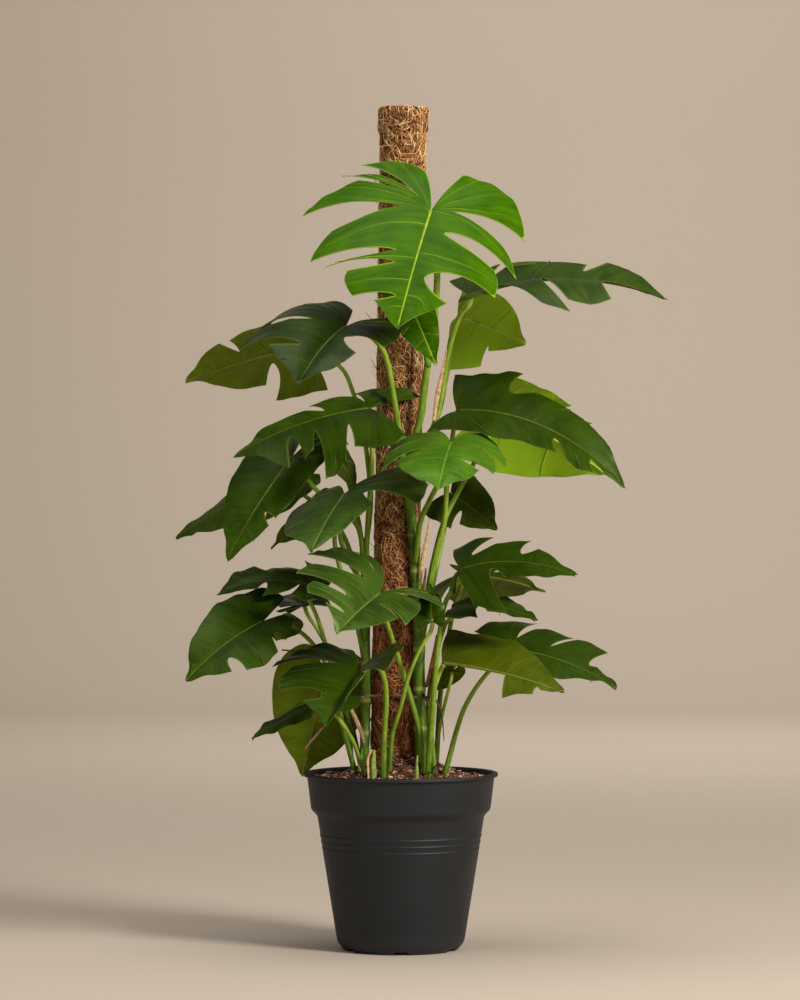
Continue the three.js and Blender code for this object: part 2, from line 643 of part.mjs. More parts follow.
const climbingStems = [
  {
    name: 'stem_left',
    base: [-51, -12],
    path: [[-49, -12, 346], [-49, -12, 432], [-50, -12, 502], [-51, -12, 565]],
    radius: [7, 5.5],
    nodeHeights: [303, 348, 400, 455, 510],
    stalks: [
      {
        leaf: 'leaf_far_left_high', radius: [4, 2.6],
        path: [[-51, -12, 545], [-42, -8, 628], [-45, 2, 670], [-53, 14, 726], [-66, 20, 776],
          [-86, 26, 816]],
      },
      {
        leaf: 'leaf_left_upper', radius: [4, 3],
        path: [[-49, -14, 534], [-45, -30, 611], [-40, -44, 677], [-41, -60, 725]],
      },
      {
        leaf: 'leaf_left_hanging', radius: [4, 3],
        path: [[-51, -14, 530], [-61, -24, 593], [-95, -36, 621], [-124, -54, 650]],
      },
      {
        leaf: 'leaf_centre_left', radius: [4, 3],
        path: [[-49, -14, 433], [-58, -30, 517], [-73, -48, 545], [-84, -84, 584]],
      },
      {
        leaf: 'leaf_under_left', radius: [4, 3],
        path: [[-50, -13, 406], [-68, -14, 482], [-82, -12, 523], [-92, -8, 565]],
      },
      {
        leaf: 'leaf_left_inner', radius: [3.6, 2.6],
        path: [[-51, -12, 521], [-57, 8, 586], [-70, 34, 640], [-88, 40, 685]],
      },
      {
        leaf: 'leaf_far_left_low', radius: [4, 2.8],
        path: [[-50, -10, 454], [-68, 34, 544], [-90, 64, 592], [-139, 50, 636]],
      },
    ],
    roots: [
      { radius: [2, 1], path: [[-49, -12, 399], [-85, -20, 409], [-109, -20, 413], [-166, -22, 419]] },
    ],
  },
  {
    name: 'stem_right',
    base: [28, -26],
    path: [[26, -28, 363], [25, -30, 447], [20, -33, 545], [13, -38, 628], [14, -40, 677]],
    radius: [8.6, 6.4],
    nodeHeights: [310, 365, 420, 475, 530, 580, 630],
    stalks: [
      {
        leaf: 'leaf_top', radius: [5.6, 4.2],
        path: [[14, -40, 650], [20, -42, 711], [28, -44, 746], [36, -48, 808], [46, -56, 871],
          [50, -80, 960]],
      },
      {
        leaf: 'leaf_upper_back', radius: [4.4, 3],
        path: [[14, -39, 650], [34, -32, 704], [52, -14, 747], [69, 22, 831], [74, 42, 878]],
      },
      {
        leaf: 'leaf_upper_right', radius: [4.6, 3.4],
        path: [[14, -41, 650], [34, -38, 704], [50, -28, 742], [67, -20, 836], [84, -27, 887]],
      },
      {
        leaf: 'leaf_right_high', radius: [4.6, 3.2],
        path: [[27, -30, 420], [42, -40, 520], [50, -42, 559], [60, -42, 595], [64, -42, 649],
          [71, -50, 711]],
      },
      {
        leaf: 'leaf_right_back', radius: [4.4, 3],
        path: [[27, -31, 440], [46, -37, 545], [61, -34, 600], [86, -8, 650], [111, 16, 694],
          [123, 26, 715]],
      },
      {
        leaf: 'leaf_middle_front', radius: [4.2, 3],
        path: [[20, -36, 540], [27, -56, 597], [40, -84, 628], [54, -120, 656], [62, -142, 680]],
      },
      {
        leaf: 'leaf_left_high', radius: [5, 3.4],
        path: [[12, -38, 615], [6, -50, 670], [0, -58, 704], [-9, -72, 766], [-25, -92, 835],
          [-49, -110, 856]],
      },
      {
        leaf: 'leaf_young_front', radius: [3, 2.4],
        path: [[38, -50, 812], [28, -58, 854], [16, -66, 886]],
      },
      {
        leaf: 'leaf_middle_right_inner', radius: [4, 3],
        path: [[27, -30, 420], [43, -24, 503], [55, -8, 558], [63, 12, 600]],
      },
    ],
    roots: [
      {
        radius: [2.2, 1.4],
        path: [[28, -28, 351], [16, -37, 354], [-1, -38, 356], [-23, -38, 356], [-46, -36, 355],
          [-68, -40, 350], [-86, -52, 343], [-100, -68, 324], [-133, -95, 285]],
      },
    ],
  },
];

// Stalks that rise straight from the soil.
const soilStalks = [
  {
    leaf: 'leaf_centre_low', base: [32, -56], radius: [4.4, 3],
    path: [[27, -58, 303], [6, -62, 379], [-7, -66, 421], [-18, -72, 455]],
  },
  {
    leaf: 'leaf_centre_small', base: [-16, -62], radius: [3.6, 2.6],
    path: [[-12, -66, 302], [-1, -74, 340], [11, -78, 385], [25, -84, 420]],
  },
  {
    leaf: 'leaf_low_front', base: [-24, -78], radius: [4.4, 3.2],
    path: [[-23, -80, 297], [-20, -84, 353], [-22, -88, 380], [-31, -96, 398], [-45, -104, 399]],
  },
  {
    leaf: 'leaf_right_low_twisted', base: [37, -72], radius: [4.4, 3.2],
    path: [[43, -72, 324], [51, -70, 421], [62, -68, 487]],
  },
  {
    leaf: 'leaf_right_low_back', base: [50, 12], radius: [4, 3],
    path: [[55, 13, 349], [64, 14, 419], [76, 10, 481]],
  },
  {
    leaf: 'leaf_right_low_thin', base: [34, -4], radius: [3.6, 2.6],
    path: [[39, -4, 350], [54, -2, 427], [64, -24, 458]],
  },
  {
    leaf: 'leaf_low_right_big', base: [46, -60], radius: [4, 3],
    path: [[42, -58, 347]],
  },
  {
    leaf: 'leaf_low_right_far', base: [60, -50], radius: [4.2, 2.8],
    path: [[89, -48, 341], [122, -50, 390]],
  },
  {
    leaf: 'leaf_low_right_small', base: [46, -18], radius: [3, 2.2],
    path: [[56, -26, 321]],
  },
  {
    leaf: 'leaf_lower_left', base: [-64, -23], radius: [4, 2.8],
    path: [[-78, -18, 301], [-108, -24, 406], [-150, -50, 451]],
  },
  {
    leaf: 'leaf_left_split', base: [-56, 12], radius: [4, 2.8],
    path: [[-71, 6, 319], [-91, -6, 376], [-116, -18, 462]],
  },
  {
    leaf: 'leaf_lower_left_back', base: [-44, 32], radius: [3.6, 2.6],
    path: [[-57, 26, 318], [-86, 8, 389], [-116, 6, 445]],
  },
  {
    leaf: 'leaf_low_left_drooping', base: [-50, -50], radius: [3.6, 2.6],
    path: [[-68, -62, 298]],
  },
  {
    leaf: 'leaf_low_left_back', base: [-67, -2], radius: [3.6, 2.6],
    path: [[-74, 6, 305], [-94, 16, 337]],
  },
];

function soilHeight(x, y) {
  const away = Math.hypot(x, y);
  const mound = soil.moundHeight * Math.exp(-((away / soil.moundRadius) ** 2));
  const lump = Math.sin(x / soil.lumpSize) * Math.cos(y / soil.lumpSize + x / soil.lumpDrift);
  return soil.edgeHeight + mound + soil.lumpHeight * lump;
}

// The straight foot of a stem: from deep in the soil to just above it.
function footOf({ base, path }) {
  const ground = new THREE.Vector3(base[0], base[1], soilHeight(...base));
  const direction = new THREE.Vector3(...path[0]).sub(ground).normalize();
  const deep = ground.clone().addScaledVector(direction, -stalk.rootDepth);
  return { ground, direction, deep };
}

function rootedPoints(stem) {
  const { ground, direction, deep } = footOf(stem);
  const above = stalk.footHeights.map((height) => ground.clone().addScaledVector(direction, height));
  return [deep, ...above, ...stem.path.map((point) => new THREE.Vector3(...point))];
}

// The last two points of a stalk, which meets its blade from below and behind.
function bladeEnd(leafName, radius) {
  const { joint, riseAhead, riseUp } = leafFrame(leaves.find((leaf) => leaf.name === leafName));
  const below = blade.thickness / 2 + blade.ribDepth + clearance + stalk.tipAhead * radius;
  const end = joint
    .clone()
    .addScaledVector(riseUp, -below)
    .addScaledVector(riseAhead, stalk.tipUp * radius);
  const direction = riseUp
    .clone()
    .multiplyScalar(stalk.tipUp)
    .addScaledVector(riseAhead, stalk.tipAhead);
  return [end.clone().addScaledVector(direction, -stalk.tipLength), end];
}

function stalkRod({ leaf, radius }, points) {
  return rod([...points, ...bladeEnd(leaf, radius[1])], radius, stalk.sides);
}

function soilHole(stem) {
  const { ground, direction, deep } = footOf(stem);
  const radius = (stem.radius[0] + clearance) / Math.cos(Math.PI / stalk.holeSides);
  const bottom = deep.addScaledVector(direction, -clearance);
  return pin(bottom, ground.addScaledVector(direction, stalk.holeRise), radius, stalk.holeSides);
}

// A climbing stem with its node rings, the stalks that grow from it and its aerial roots.
function climbingStem(stem) {
  const pieces = [rod(rootedPoints(stem), stem.radius, stalk.stemSides)];
  for (const stalkOnStem of stem.stalks) {
    const points = stalkOnStem.path.map((point) => new THREE.Vector3(...point));
    pieces.push(stalkRod(stalkOnStem, points));
  }
  for (const root of stem.roots) {
    const points = root.path.map((point) => new THREE.Vector3(...point));
    pieces.push(rod(points, root.radius, stalk.sides));
  }
  const curve = new THREE.CatmullRomCurve3(rootedPoints(stem), false, 'centripetal');
  const places = curve.getSpacedPoints(Math.ceil(curve.getLength()));
  const radius = stem.radius[0] + stalk.ringProud;
  for (const height of stem.nodeHeights) {
    const { x, y, z } = places.find((place) => place.z > height);
    const ring = turned([[0, -radius], [radius, 0], [0, radius]], stalk.stemSides);
    pieces.push(ring.translate(x, y, z));
  }
  return joined(pieces);
}

// ---- pot, soil and pole ----

function potShell() {
  const rings = pot.ringHeights.flatMap((height) => {
    const rise = (height - pot.bodyFootHeight) / (pot.stepHeight - pot.bodyFootHeight);
    const radius = THREE.MathUtils.lerp(pot.bodyFootRadius, pot.stepRadius, rise);
    return [
      [radius, height - pot.ringHalfHeight],
      [radius + pot.ringRelief, height],
      [radius, height + pot.ringHalfHeight],
    ];
  });
  const inside = pot.wall;
  const shell = turned(
    [
      [0, 0],
      [pot.padRadius, 0],
      [pot.padRadius + pot.floorHeight, pot.floorHeight],
      [pot.footRadius - pot.footWidth, pot.floorHeight],
      [pot.footRadius - pot.footWidth, 0],
      [pot.footRadius, 0],
      [pot.bodyFootRadius, pot.bodyFootHeight],
      ...rings,
      [pot.stepRadius, pot.stepHeight],
      [pot.bandFootRadius, pot.bandFootHeight],
      [pot.bandTopRadius, pot.height - pot.lipHeight - pot.lipRound],
      [pot.lipRadius, pot.height - pot.lipHeight],
      [pot.lipRadius, pot.height - pot.lipRound],
      [pot.lipRadius - pot.lipRound, pot.height],
      [pot.bandTopRadius, pot.height],
      [pot.bandTopRadius - inside, pot.height - pot.lipRound],
      [pot.bandFootRadius - inside, pot.bandFootHeight + inside],
      [pot.stepRadius - inside, pot.stepHeight + inside],
      [pot.bodyFootRadius - inside, pot.bodyFootHeight],
      [pot.footRadius, pot.floorHeight + inside],
      [0, pot.floorHeight + inside],
    ],
    pot.segments,
  );
  const cutters = [];
  for (let i = 0; i < pot.notchCount; i += 1) {
    const turn = radians((360 / pot.notchCount) * i - 90);
    const notch = new THREE.BoxGeometry(3 * pot.footWidth, pot.notchWidth, 2 * pot.notchHeight);
    const middle = pot.footRadius - pot.footWidth / 2;
    cutters.push(notch.translate(middle, 0, 0).rotateZ(turn));
  }
  for (let i = 0; i < pot.drainHoleCount; i += 1) {
    const turn = radians((360 / pot.drainHoleCount) * (i + 0.5));
    const x = Math.cos(turn) * pot.drainHoleCircle;
    const y = Math.sin(turn) * pot.drainHoleCircle;
    const low = new THREE.Vector3(x, y, 0);
    const high = new THREE.Vector3(x, y, 2 * pot.floorHeight + pot.wall);
    cutters.push(pin(low, high, pot.drainHoleRadius, pot.drainHoleSides));
  }
  return cut(shell, cutters);
}

function soilBody(holes) {
  const inset = pot.wall + clearance;
  const floor = pot.floorHeight + pot.wall + clearance;
  const body = turned(
    [
      [0, floor],
      [pot.footRadius - clearance, floor],
      [pot.bodyFootRadius - inset, pot.bodyFootHeight],
      [pot.stepRadius - inset, pot.stepHeight + inset],
      [pot.bandFootRadius - inset, pot.bandFootHeight + inset],
      ...soil.ringRadii.map((radius) => [radius, soil.edgeHeight]),
      [0, soil.edgeHeight],
    ],
    pot.segments,
  );
  const corners = body.attributes.position;
  for (let i = 0; i < corners.count; i += 1) {
    const x = corners.getX(i);
    const y = corners.getY(i);
    const onTop = corners.getZ(i) > soil.edgeHeight - 1 && Math.hypot(x, y) < soil.ringRadii[0] - 1;
    if (onTop) corners.setZ(i, soilHeight(x, y));
  }
  return cut(body, holes);
}

const poleLine = pole.top.clone().sub(pole.foot);
const poleLength = poleLine.length();
const poleTurn = new THREE.Quaternion().setFromUnitVectors(
  new THREE.Vector3(0, 0, 1),
  poleLine.clone().normalize(),
);

// A place on the axis of the pole, at a height measured along it from its foot.
function poleAt(height) {
  return pole.foot.clone().addScaledVector(poleLine, height / poleLength);
}

function coirSleeve() {
  const shoulder = poleLength - pole.headLength;
  const rows = Math.round((shoulder - pole.sleeveStart) / pole.rowHeight);
  const side = Array.from({ length: rows + 1 }, (_, row) => [
    pole.radius,
    THREE.MathUtils.lerp(pole.sleeveStart, shoulder, row / rows),
  ]);
  const bore = pole.stakeRadius + clearance;
  const boreEnd = poleLength - pole.stakeShort + clearance;
  const sleeve = turned(
    [
      [0, boreEnd],
      [bore, boreEnd],
      [bore, pole.sleeveStart],
      ...side,
      [pole.headRadius, shoulder + pole.headRound],
      [pole.headRadius, poleLength - pole.headRound],
      [pole.headRadius - pole.headRound, poleLength],
      [0, poleLength],
    ],
    pole.segments,
  );
  const corners = sleeve.attributes.position;
  const [slowWave, fastWave] = pole.lumpWaves;
  for (let i = 0; i < corners.count; i += 1) {
    const x = corners.getX(i);
    const y = corners.getY(i);
    const height = corners.getZ(i);
    const away = Math.hypot(x, y);
    if (away < bore + 1) continue;
    const around = Math.sin(pole.lumpsRound * Math.atan2(y, x) + height / slowWave);
    const lump = around * Math.sin(height / fastWave) * pole.lumpHeight;
    corners.setX(i, x * (1 + lump / away));
    corners.setY(i, y * (1 + lump / away));
  }
  return sleeve.applyQuaternion(poleTurn).translate(...pole.foot);
}

// ---- assembly ----

const part = new THREE.Group();

function addPiece(name, geometry, finish) {
  geometry.computeVertexNormals();
  const mesh = new THREE.Mesh(geometry, finish);
  mesh.name = name;
  part.add(mesh);
}

const holes = [...climbingStems, ...soilStalks].map(soilHole);
const sleeveFoot = poleAt(pole.sleeveStart - clearance);
const sleeveHoleTop = poleAt(pole.sleeveStart + pole.holeLength);
const sleeveHoleRadius = pole.radius + pole.lumpHeight + 2 * clearance;
holes.push(pin(sleeveFoot, sleeveHoleTop, sleeveHoleRadius, pole.segments));
const stakeHoleRadius = pole.stakeRadius + 2 * clearance;
holes.push(pin(poleAt(-clearance), poleAt(pole.sleeveStart), stakeHoleRadius, pole.segments));
const stake = pin(poleAt(0), poleAt(poleLength - pole.stakeShort), pole.stakeRadius, pole.segments);

addPiece('nursery_pot', potShell(), material(colours.pot, 0.55));
addPiece('soil', soilBody(holes), material(colours.soil, 0.95));
addPiece('coir_sleeve', coirSleeve(), material(colours.coir, 0.95));
addPiece('pole_stake', stake, material(colours.stake, 0.7));
for (const stem of climbingStems) {
  addPiece(stem.name, climbingStem(stem), material(colours.stalk, 0.5));
}
for (const item of soilStalks) {
  const name = item.leaf.replace('leaf', 'stalk');
  addPiece(name, stalkRod(item, rootedPoints(item)), material(colours.stalk, 0.5));
}
for (const leaf of leaves) {
  addPiece(leaf.name, leafBlade(leaf), material(colours[leaf.tint ?? 'deep'], 0.4));
}

export default part;
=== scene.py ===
import math
import random
from collections import namedtuple
from dataclasses import dataclass
from types import SimpleNamespace

import bpy
import numpy as np
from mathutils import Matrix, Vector, noise


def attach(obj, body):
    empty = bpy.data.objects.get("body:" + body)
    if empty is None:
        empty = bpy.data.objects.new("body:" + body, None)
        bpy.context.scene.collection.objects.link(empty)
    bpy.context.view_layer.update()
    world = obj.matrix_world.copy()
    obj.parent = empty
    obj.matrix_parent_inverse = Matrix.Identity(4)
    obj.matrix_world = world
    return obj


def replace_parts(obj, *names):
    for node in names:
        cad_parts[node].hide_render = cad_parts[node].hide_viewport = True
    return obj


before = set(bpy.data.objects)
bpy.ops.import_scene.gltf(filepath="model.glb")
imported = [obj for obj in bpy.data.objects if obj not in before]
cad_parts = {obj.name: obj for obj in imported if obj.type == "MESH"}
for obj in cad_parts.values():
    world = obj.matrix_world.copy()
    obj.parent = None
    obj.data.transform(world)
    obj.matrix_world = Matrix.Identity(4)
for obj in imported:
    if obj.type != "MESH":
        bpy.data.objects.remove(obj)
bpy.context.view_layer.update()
print("frame loaded:", len(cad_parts), "nodes")

mm = 0.001               # sizes and places of the pieces are in millimetres, in the same frame as the CAD
up = np.array((0.0, 0.0, 1.0))


# Shader helpers.

def tone(red, green, blue):
    # a colour as it looks on screen, as the shader's linear values
    parts = (value / 255 for value in (red, green, blue))
    return (*(part / 12.92 if part <= 0.04045 else ((part + 0.055) / 1.055) ** 2.4 for part in parts), 1)


class Finish:
    # a material in the making. Most methods add a shader node and give back its output.
    def __init__(self, name):
        self.material = bpy.data.materials.new(name)
        self.material.use_nodes = True
        self.tree = self.material.node_tree
        self.shader = self.tree.nodes["Principled BSDF"]

    def put(self, node, values):
        # an output is linked to the node's input, and any other value is set there
        for name, value in values.items():
            if isinstance(value, bpy.types.NodeSocket):
                self.tree.links.new(value, node.inputs[name])
            else:
                node.inputs[name].default_value = value

    def node(self, kind, output, values, **settings):
        node = self.tree.nodes.new("ShaderNode" + kind)
        for name, value in settings.items():
            setattr(node, name, value)
        self.put(node, values)
        return node.outputs[output]

    def stored(self, name):
        # a value that the mesh keeps for each point
        return self.node("Attribute", "Fac", {}, attribute_name=name)

    def place(self):
        return self.node("TexCoord", "Object", {})

    def height(self):
        return self.node("SeparateXYZ", "Z", {"Vector": self.place()})

    def across(self, x, y):
        return self.node("CombineXYZ", "Vector", {"X": x, "Y": y})

    def maths(self, operation, first, second=0.0, clamp=False):
        return self.node("Math", "Value", {0: first, 1: second}, operation=operation, use_clamp=clamp)

    def noise(self, scale, detail=3.0, rough=0.5, place=None):
        place = self.place() if place is None else place
        values = {"Vector": place, "Scale": scale, "Detail": detail, "Roughness": rough}
        return self.node("TexNoise", "Fac", values)

    def cells(self, scale, feature="F1"):
        return self.node("TexVoronoi", "Distance", {"Vector": self.place(), "Scale": scale}, feature=feature)

    def stretched(self, scale, turn=(0, 0, 0)):
        return self.node("Mapping", "Vector", {"Vector": self.place(), "Scale": scale, "Rotation": turn})

    def ramp(self, amount, *stops):
        # stops: a place on the ramp, then red, green and blue
        colour = self.node("ValToRGB", "Color", {"Fac": amount})
        elements = colour.node.color_ramp.elements
        while len(elements) < len(stops):
            elements.new(0.5)
        for element, (place, *shade) in zip(elements, stops):
            element.position = place
            element.color = tone(*shade)
        return colour

    def span(self, value, low, high, toLow=0.0, toHigh=1.0):
        limits = {"From Min": low, "From Max": high, "To Min": toLow, "To Max": toHigh}
        return self.node("MapRange", "Result", {"Value": value, **limits}, clamp=True)

    def mix(self, share, first, second, blend="MIX"):
        return self.node("Mix", "Result", {0: share, 6: first, 7: second}, data_type="RGBA", blend_type=blend)

    def done(self, colour, rough, gloss=0.5, tint=(1, 1, 1), relief=None, strength=1.0, depth=0.001):
        # gloss and tint: how strongly and in which colour it mirrors. depth: height of the relief in metres.
        if relief is not None:
            values = {"Strength": strength, "Distance": depth, "Height": relief}
            self.put(self.shader, {"Normal": self.node("Bump", "Normal", values)})
        self.put(self.shader, {"Base Color": colour, "Roughness": rough,
                               "Specular IOR Level": gloss, "Specular Tint": (*tint, 1)})
        return self.material


def mottled(name, grain, stops, rough, strength, depth, gloss=0.5, tint=(1, 1, 1),
            stretch=None, turn=(0, 0, 0)):
    # one noise gives both the shades and the relief. grain: its scale, detail and roughness.
    paint = Finish(name)
    spots = paint.noise(*grain, paint.stretched(stretch, turn) if stretch else None)
    return paint.done(paint.ramp(spots, *stops), rough, gloss, tint, spots, strength, depth)


# Camera, light and floor, in metres.

studio = {
    "cameraPlace": (-0.0011, -5.2, 0.628), "lens": 133.7, "sensor": 36,
    "paperTone": (198, 183, 165), "paperRough": 0.9, "paperGloss": 0.2,
    "floorFront": -14.0, "halfWidth": 10.0, "wallDistance": 5.8, "wallTop": 4.6,
    "sweepRadius": 2.0, "sweepSteps": 24, "skyTone": (208, 205, 200), "skyStrength": 0.3,
    "lights": {          # place, the point it is aimed at, size, power and colour
        "keyLight": ((2.9, -2.7, 2.5), (0, 0, 0.6), 1.2, 210, (1, 0.975, 0.94)),
        "fillLight": ((-3.2, -3.4, 1.8), (0, 0, 0.6), 2.6, 22, (1, 1, 1)),
        "topLight": ((-0.3, -0.4, 3.4), (0, 0, 0.6), 2.4, 46, (1, 1, 1)),
        "wallLight": ((0.9, 3.6, 3.6), (0.6, 7.6, 0.4), 1.8, 114, (1, 1, 1)),
    },
}


def addObject(name, data, place=(0, 0, 0), turn=(0, 0, 0)):
    item = bpy.data.objects.new(name, data)
    item.location = place
    item.rotation_euler = turn
    bpy.context.scene.collection.objects.link(item)
    return item


def makeCamera():
    data = bpy.data.cameras.new("frontCamera")
    data.lens = studio["lens"]
    data.sensor_width = studio["sensor"]
    level = (math.pi / 2, 0, 0)
    bpy.context.scene.camera = addObject("frontCamera", data, studio["cameraPlace"], level)


def makeFloor():
    # flat floor that curves up into the wall behind
    distance, radius = studio["wallDistance"], studio["sweepRadius"]
    rows = [(studio["floorFront"], 0.0), (0.0, 0.0)]
    for turn in np.linspace(0, math.pi / 2, studio["sweepSteps"] + 1):
        rows.append((distance + radius * math.sin(turn), radius * (1 - math.cos(turn))))
    rows.append((distance + radius, studio["wallTop"]))
    points = [(side * studio["halfWidth"], y, z) for y, z in rows for side in (-1, 1)]
    faces = [(2 * i, 2 * i + 1, 2 * i + 3, 2 * i + 2) for i in range(len(rows) - 1)]
    mesh = bpy.data.meshes.new("studioFloor")
    mesh.from_pydata(points, [], faces)
    mesh.shade_smooth()
    paper = Finish("studioPaper").done(tone(*studio["paperTone"]), studio["paperRough"], studio["paperGloss"])
    mesh.materials.append(paper)
    addObject("studioFloor", mesh)


def makeWorld():
    world = bpy.data.worlds.new("studioAir")
    world.use_nodes = True
    background = world.node_tree.nodes["Background"].inputs
    background["Color"].default_value = tone(*studio["skyTone"])
    background["Strength"].default_value = studio["skyStrength"]
    bpy.context.scene.world = world
    bpy.context.scene.view_settings.view_transform = "Standard"


def makeLights():
    for name, (place, aim, size, power, colour) in studio["lights"].items():
        data = bpy.data.lights.new(name, "AREA")
        data.shape = "DISK"
        data.size = size
        data.energy = power
        data.color = colour
        addObject(name, data, place, (Vector(aim) - Vector(place)).to_track_quat("-Z", "Y").to_euler())


makeCamera()
makeFloor()
makeWorld()
makeLights()
print("studio ready")


# Mesh helpers.

class Heap:
    # gathers the parts of one piece
    def __init__(self):
        self.points, self.faces, self.kinds, self.values, self.count = [], [], [], {}, 0

    def add(self, points, faces, kind=0, **values):
        # kind: number of the material, or one for each face. values: kept for each point, by name.
        self.points.append(np.asarray(points, float))
        self.faces += [tuple(self.count + corner for corner in face) for face in faces]
        self.kinds += (np.zeros(len(faces), int) + kind).tolist()
        for name, value in values.items():
            self.values.setdefault(name, []).append(np.ones(len(points)) * value)
        self.count += len(points)

    def piece(self, name, materials, slotName, crisp=()):
        # crisp: pairs of points with a sharp edge between them
        mesh = bpy.data.meshes.new(name)
        mesh.from_pydata((np.concatenate(self.points) * mm).tolist(), [], self.faces)
        for material in materials:
            mesh.materials.append(material)
        mesh.polygons.foreach_set("material_index", np.array(self.kinds, np.int32))
        for key, parts in self.values.items():
            layer = mesh.attributes.new(key, "FLOAT", "POINT")
            layer.data.foreach_set("value", np.concatenate(parts).astype(np.float32))
        mesh.shade_smooth()
        if crisp:
            ends = np.zeros(len(mesh.edges) * 2, np.int32)
            mesh.edges.foreach_get("vertices", ends)
            marks = [tuple(sorted(pair)) in crisp for pair in ends.reshape(-1, 2).tolist()]
            layer = mesh.attributes.new("sharp_edge", "BOOLEAN", "EDGE")
            layer.data.foreach_set("value", np.array(marks))
        mesh.update()
        piece = addObject(name, mesh)
        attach(piece, "root")
        return piece


def singlePiece(name, points, faces, material, slotName):
    heap = Heap()
    heap.add(points, faces)
    return heap.piece(name, [material], slotName)


def pieceName(node):
    words = node.split("_")
    return words[0] + "".join(word.capitalize() for word in words[1:])


def ringFaces(low, high, count):
    # between two rings of points that start at low and high
    return [(low + j, low + (j + 1) % count, high + (j + 1) % count, high + j) for j in range(count)]


def wallFaces(rings, count):
    return [face for i in range(rings - 1) for face in ringFaces(i * count, (i + 1) * count, count)]


def fan(centre, ring, count, flip=False):
    faces = [(centre, ring + j, ring + (j + 1) % count) for j in range(count)]
    return [face[::-1] for face in faces] if flip else faces


def ringTurns(count):
    return np.arange(count) / count * 2 * math.pi


def unit(vector):
    return vector / np.linalg.norm(vector)


def smoothLine(points, step):
    # a smooth line through the points, as even steps
    points = [np.asarray(point, float) for point in points]
    ends = [2 * points[0] - points[1], *points, 2 * points[-1] - points[-2]]
    line = []
    for before, start, end, after in zip(ends, ends[1:], ends[2:], ends[3:]):
        gapBefore, gap, gapAfter = (
            max(np.linalg.norm(b - a), 1e-4) ** 0.5 for a, b in ((before, start), (start, end), (end, after)))
        leave = (start - before) / gapBefore - (end - before) / (gapBefore + gap) + (end - start) / gap
        arrive = (end - start) / gap - (after - start) / (gap + gapAfter) + (after - end) / gapAfter
        leave, arrive = leave * gap, arrive * gap
        for t in np.linspace(0, 1, 24, endpoint=False):
            line.append(start + leave * t + (3 * (end - start) - 2 * leave - arrive) * t ** 2
                        + (2 * (start - end) + leave + arrive) * t ** 3)
    line = np.array([*line, points[-1]])
    lengths = np.concatenate(([0], np.cumsum(np.linalg.norm(np.diff(line, axis=0), axis=1))))
    places = np.linspace(0, lengths[-1], max(3, int(round(lengths[-1] / step)) + 1))
    return np.stack([np.interp(places, lengths, line[:, axis]) for axis in range(3)], axis=1), places


def tube(line, radii, sides, squash=1.0, closed=True):
    # a tube along the line, turned along it without twist. squash narrows it across its second direction.
    tangents = np.gradient(line, axis=0)
    tangents /= np.linalg.norm(tangents, axis=1)[:, None]
    across = [unit(np.cross(tangents[0], up if abs(tangents[0][2]) < 0.9 else (1.0, 0.0, 0.0)))]
    for tangent in tangents[1:]:
        across.append(unit(across[-1] - tangent * (across[-1] @ tangent)))
    across = np.array(across)
    over = np.cross(tangents, across)
    turns = ringTurns(sides)
    radii = np.asarray(radii, float) * np.ones(len(line))
    rings = (line[:, None, :] + across[:, None, :] * (np.cos(turns)[None, :, None] * radii[:, None, None])
             + over[:, None, :] * (np.sin(turns)[None, :, None] * (radii * squash)[:, None, None]))
    faces = wallFaces(len(line), sides)
    if closed:
        faces.append(tuple(reversed(range(sides))))
        faces.append(tuple(range((len(line) - 1) * sides, len(line) * sides)))
    return rings.reshape(-1, 3), faces


# Nursery pot.

pot = {
    "height": 247, "wall": 2, "segments": 192,
    "foot": 80, "bodyFoot": (89, 10.6), "step": (117, 187), "bandFoot": (125.5, 195.5), "bandTop": 131,
    "lip": 136, "lipHeight": 5, "lipRound": 2.2, "round": 0.8,
    "ringHeights": (142, 151, 160), "ringRelief": 0.9, "ringHalfHeight": 1.6, "ringRounds": (0.6, 1.2, 0.6),
    "footWidth": 7, "floorHeight": 3, "padRadius": 26, "notchWidth": 17, "notchHeight": 3.4, "notchCount": 6,
    "holeRadius": 6, "holeCircle": 55, "holeCount": 6,
    "tones": ((0.3, 19, 19, 20), (0.7, 27, 27, 28)), "dustTone": (58, 57, 56), "rough": (0.46, 0.64),
}


def rounded(corners):
    # a profile whose corners are rounded by small arcs. A corner may name its own radius.
    line = [corners[0][:2]]
    for before, corner, after in zip(corners, corners[1:], corners[2:]):
        here = np.array(corner[:2], float)
        size = corner[2] if len(corner) > 2 else pot["round"]
        back, ahead = np.array(before[:2]) - here, np.array(after[:2]) - here
        reach = min(size, 0.45 * np.linalg.norm(back), 0.45 * np.linalg.norm(ahead))
        first, last = here + unit(back) * reach, here + unit(ahead) * reach
        for t in np.linspace(0, 1, 5):
            line.append(tuple((1 - t) ** 2 * first + 2 * t * (1 - t) * here + t ** 2 * last))
    line.append(corners[-1][:2])
    return line


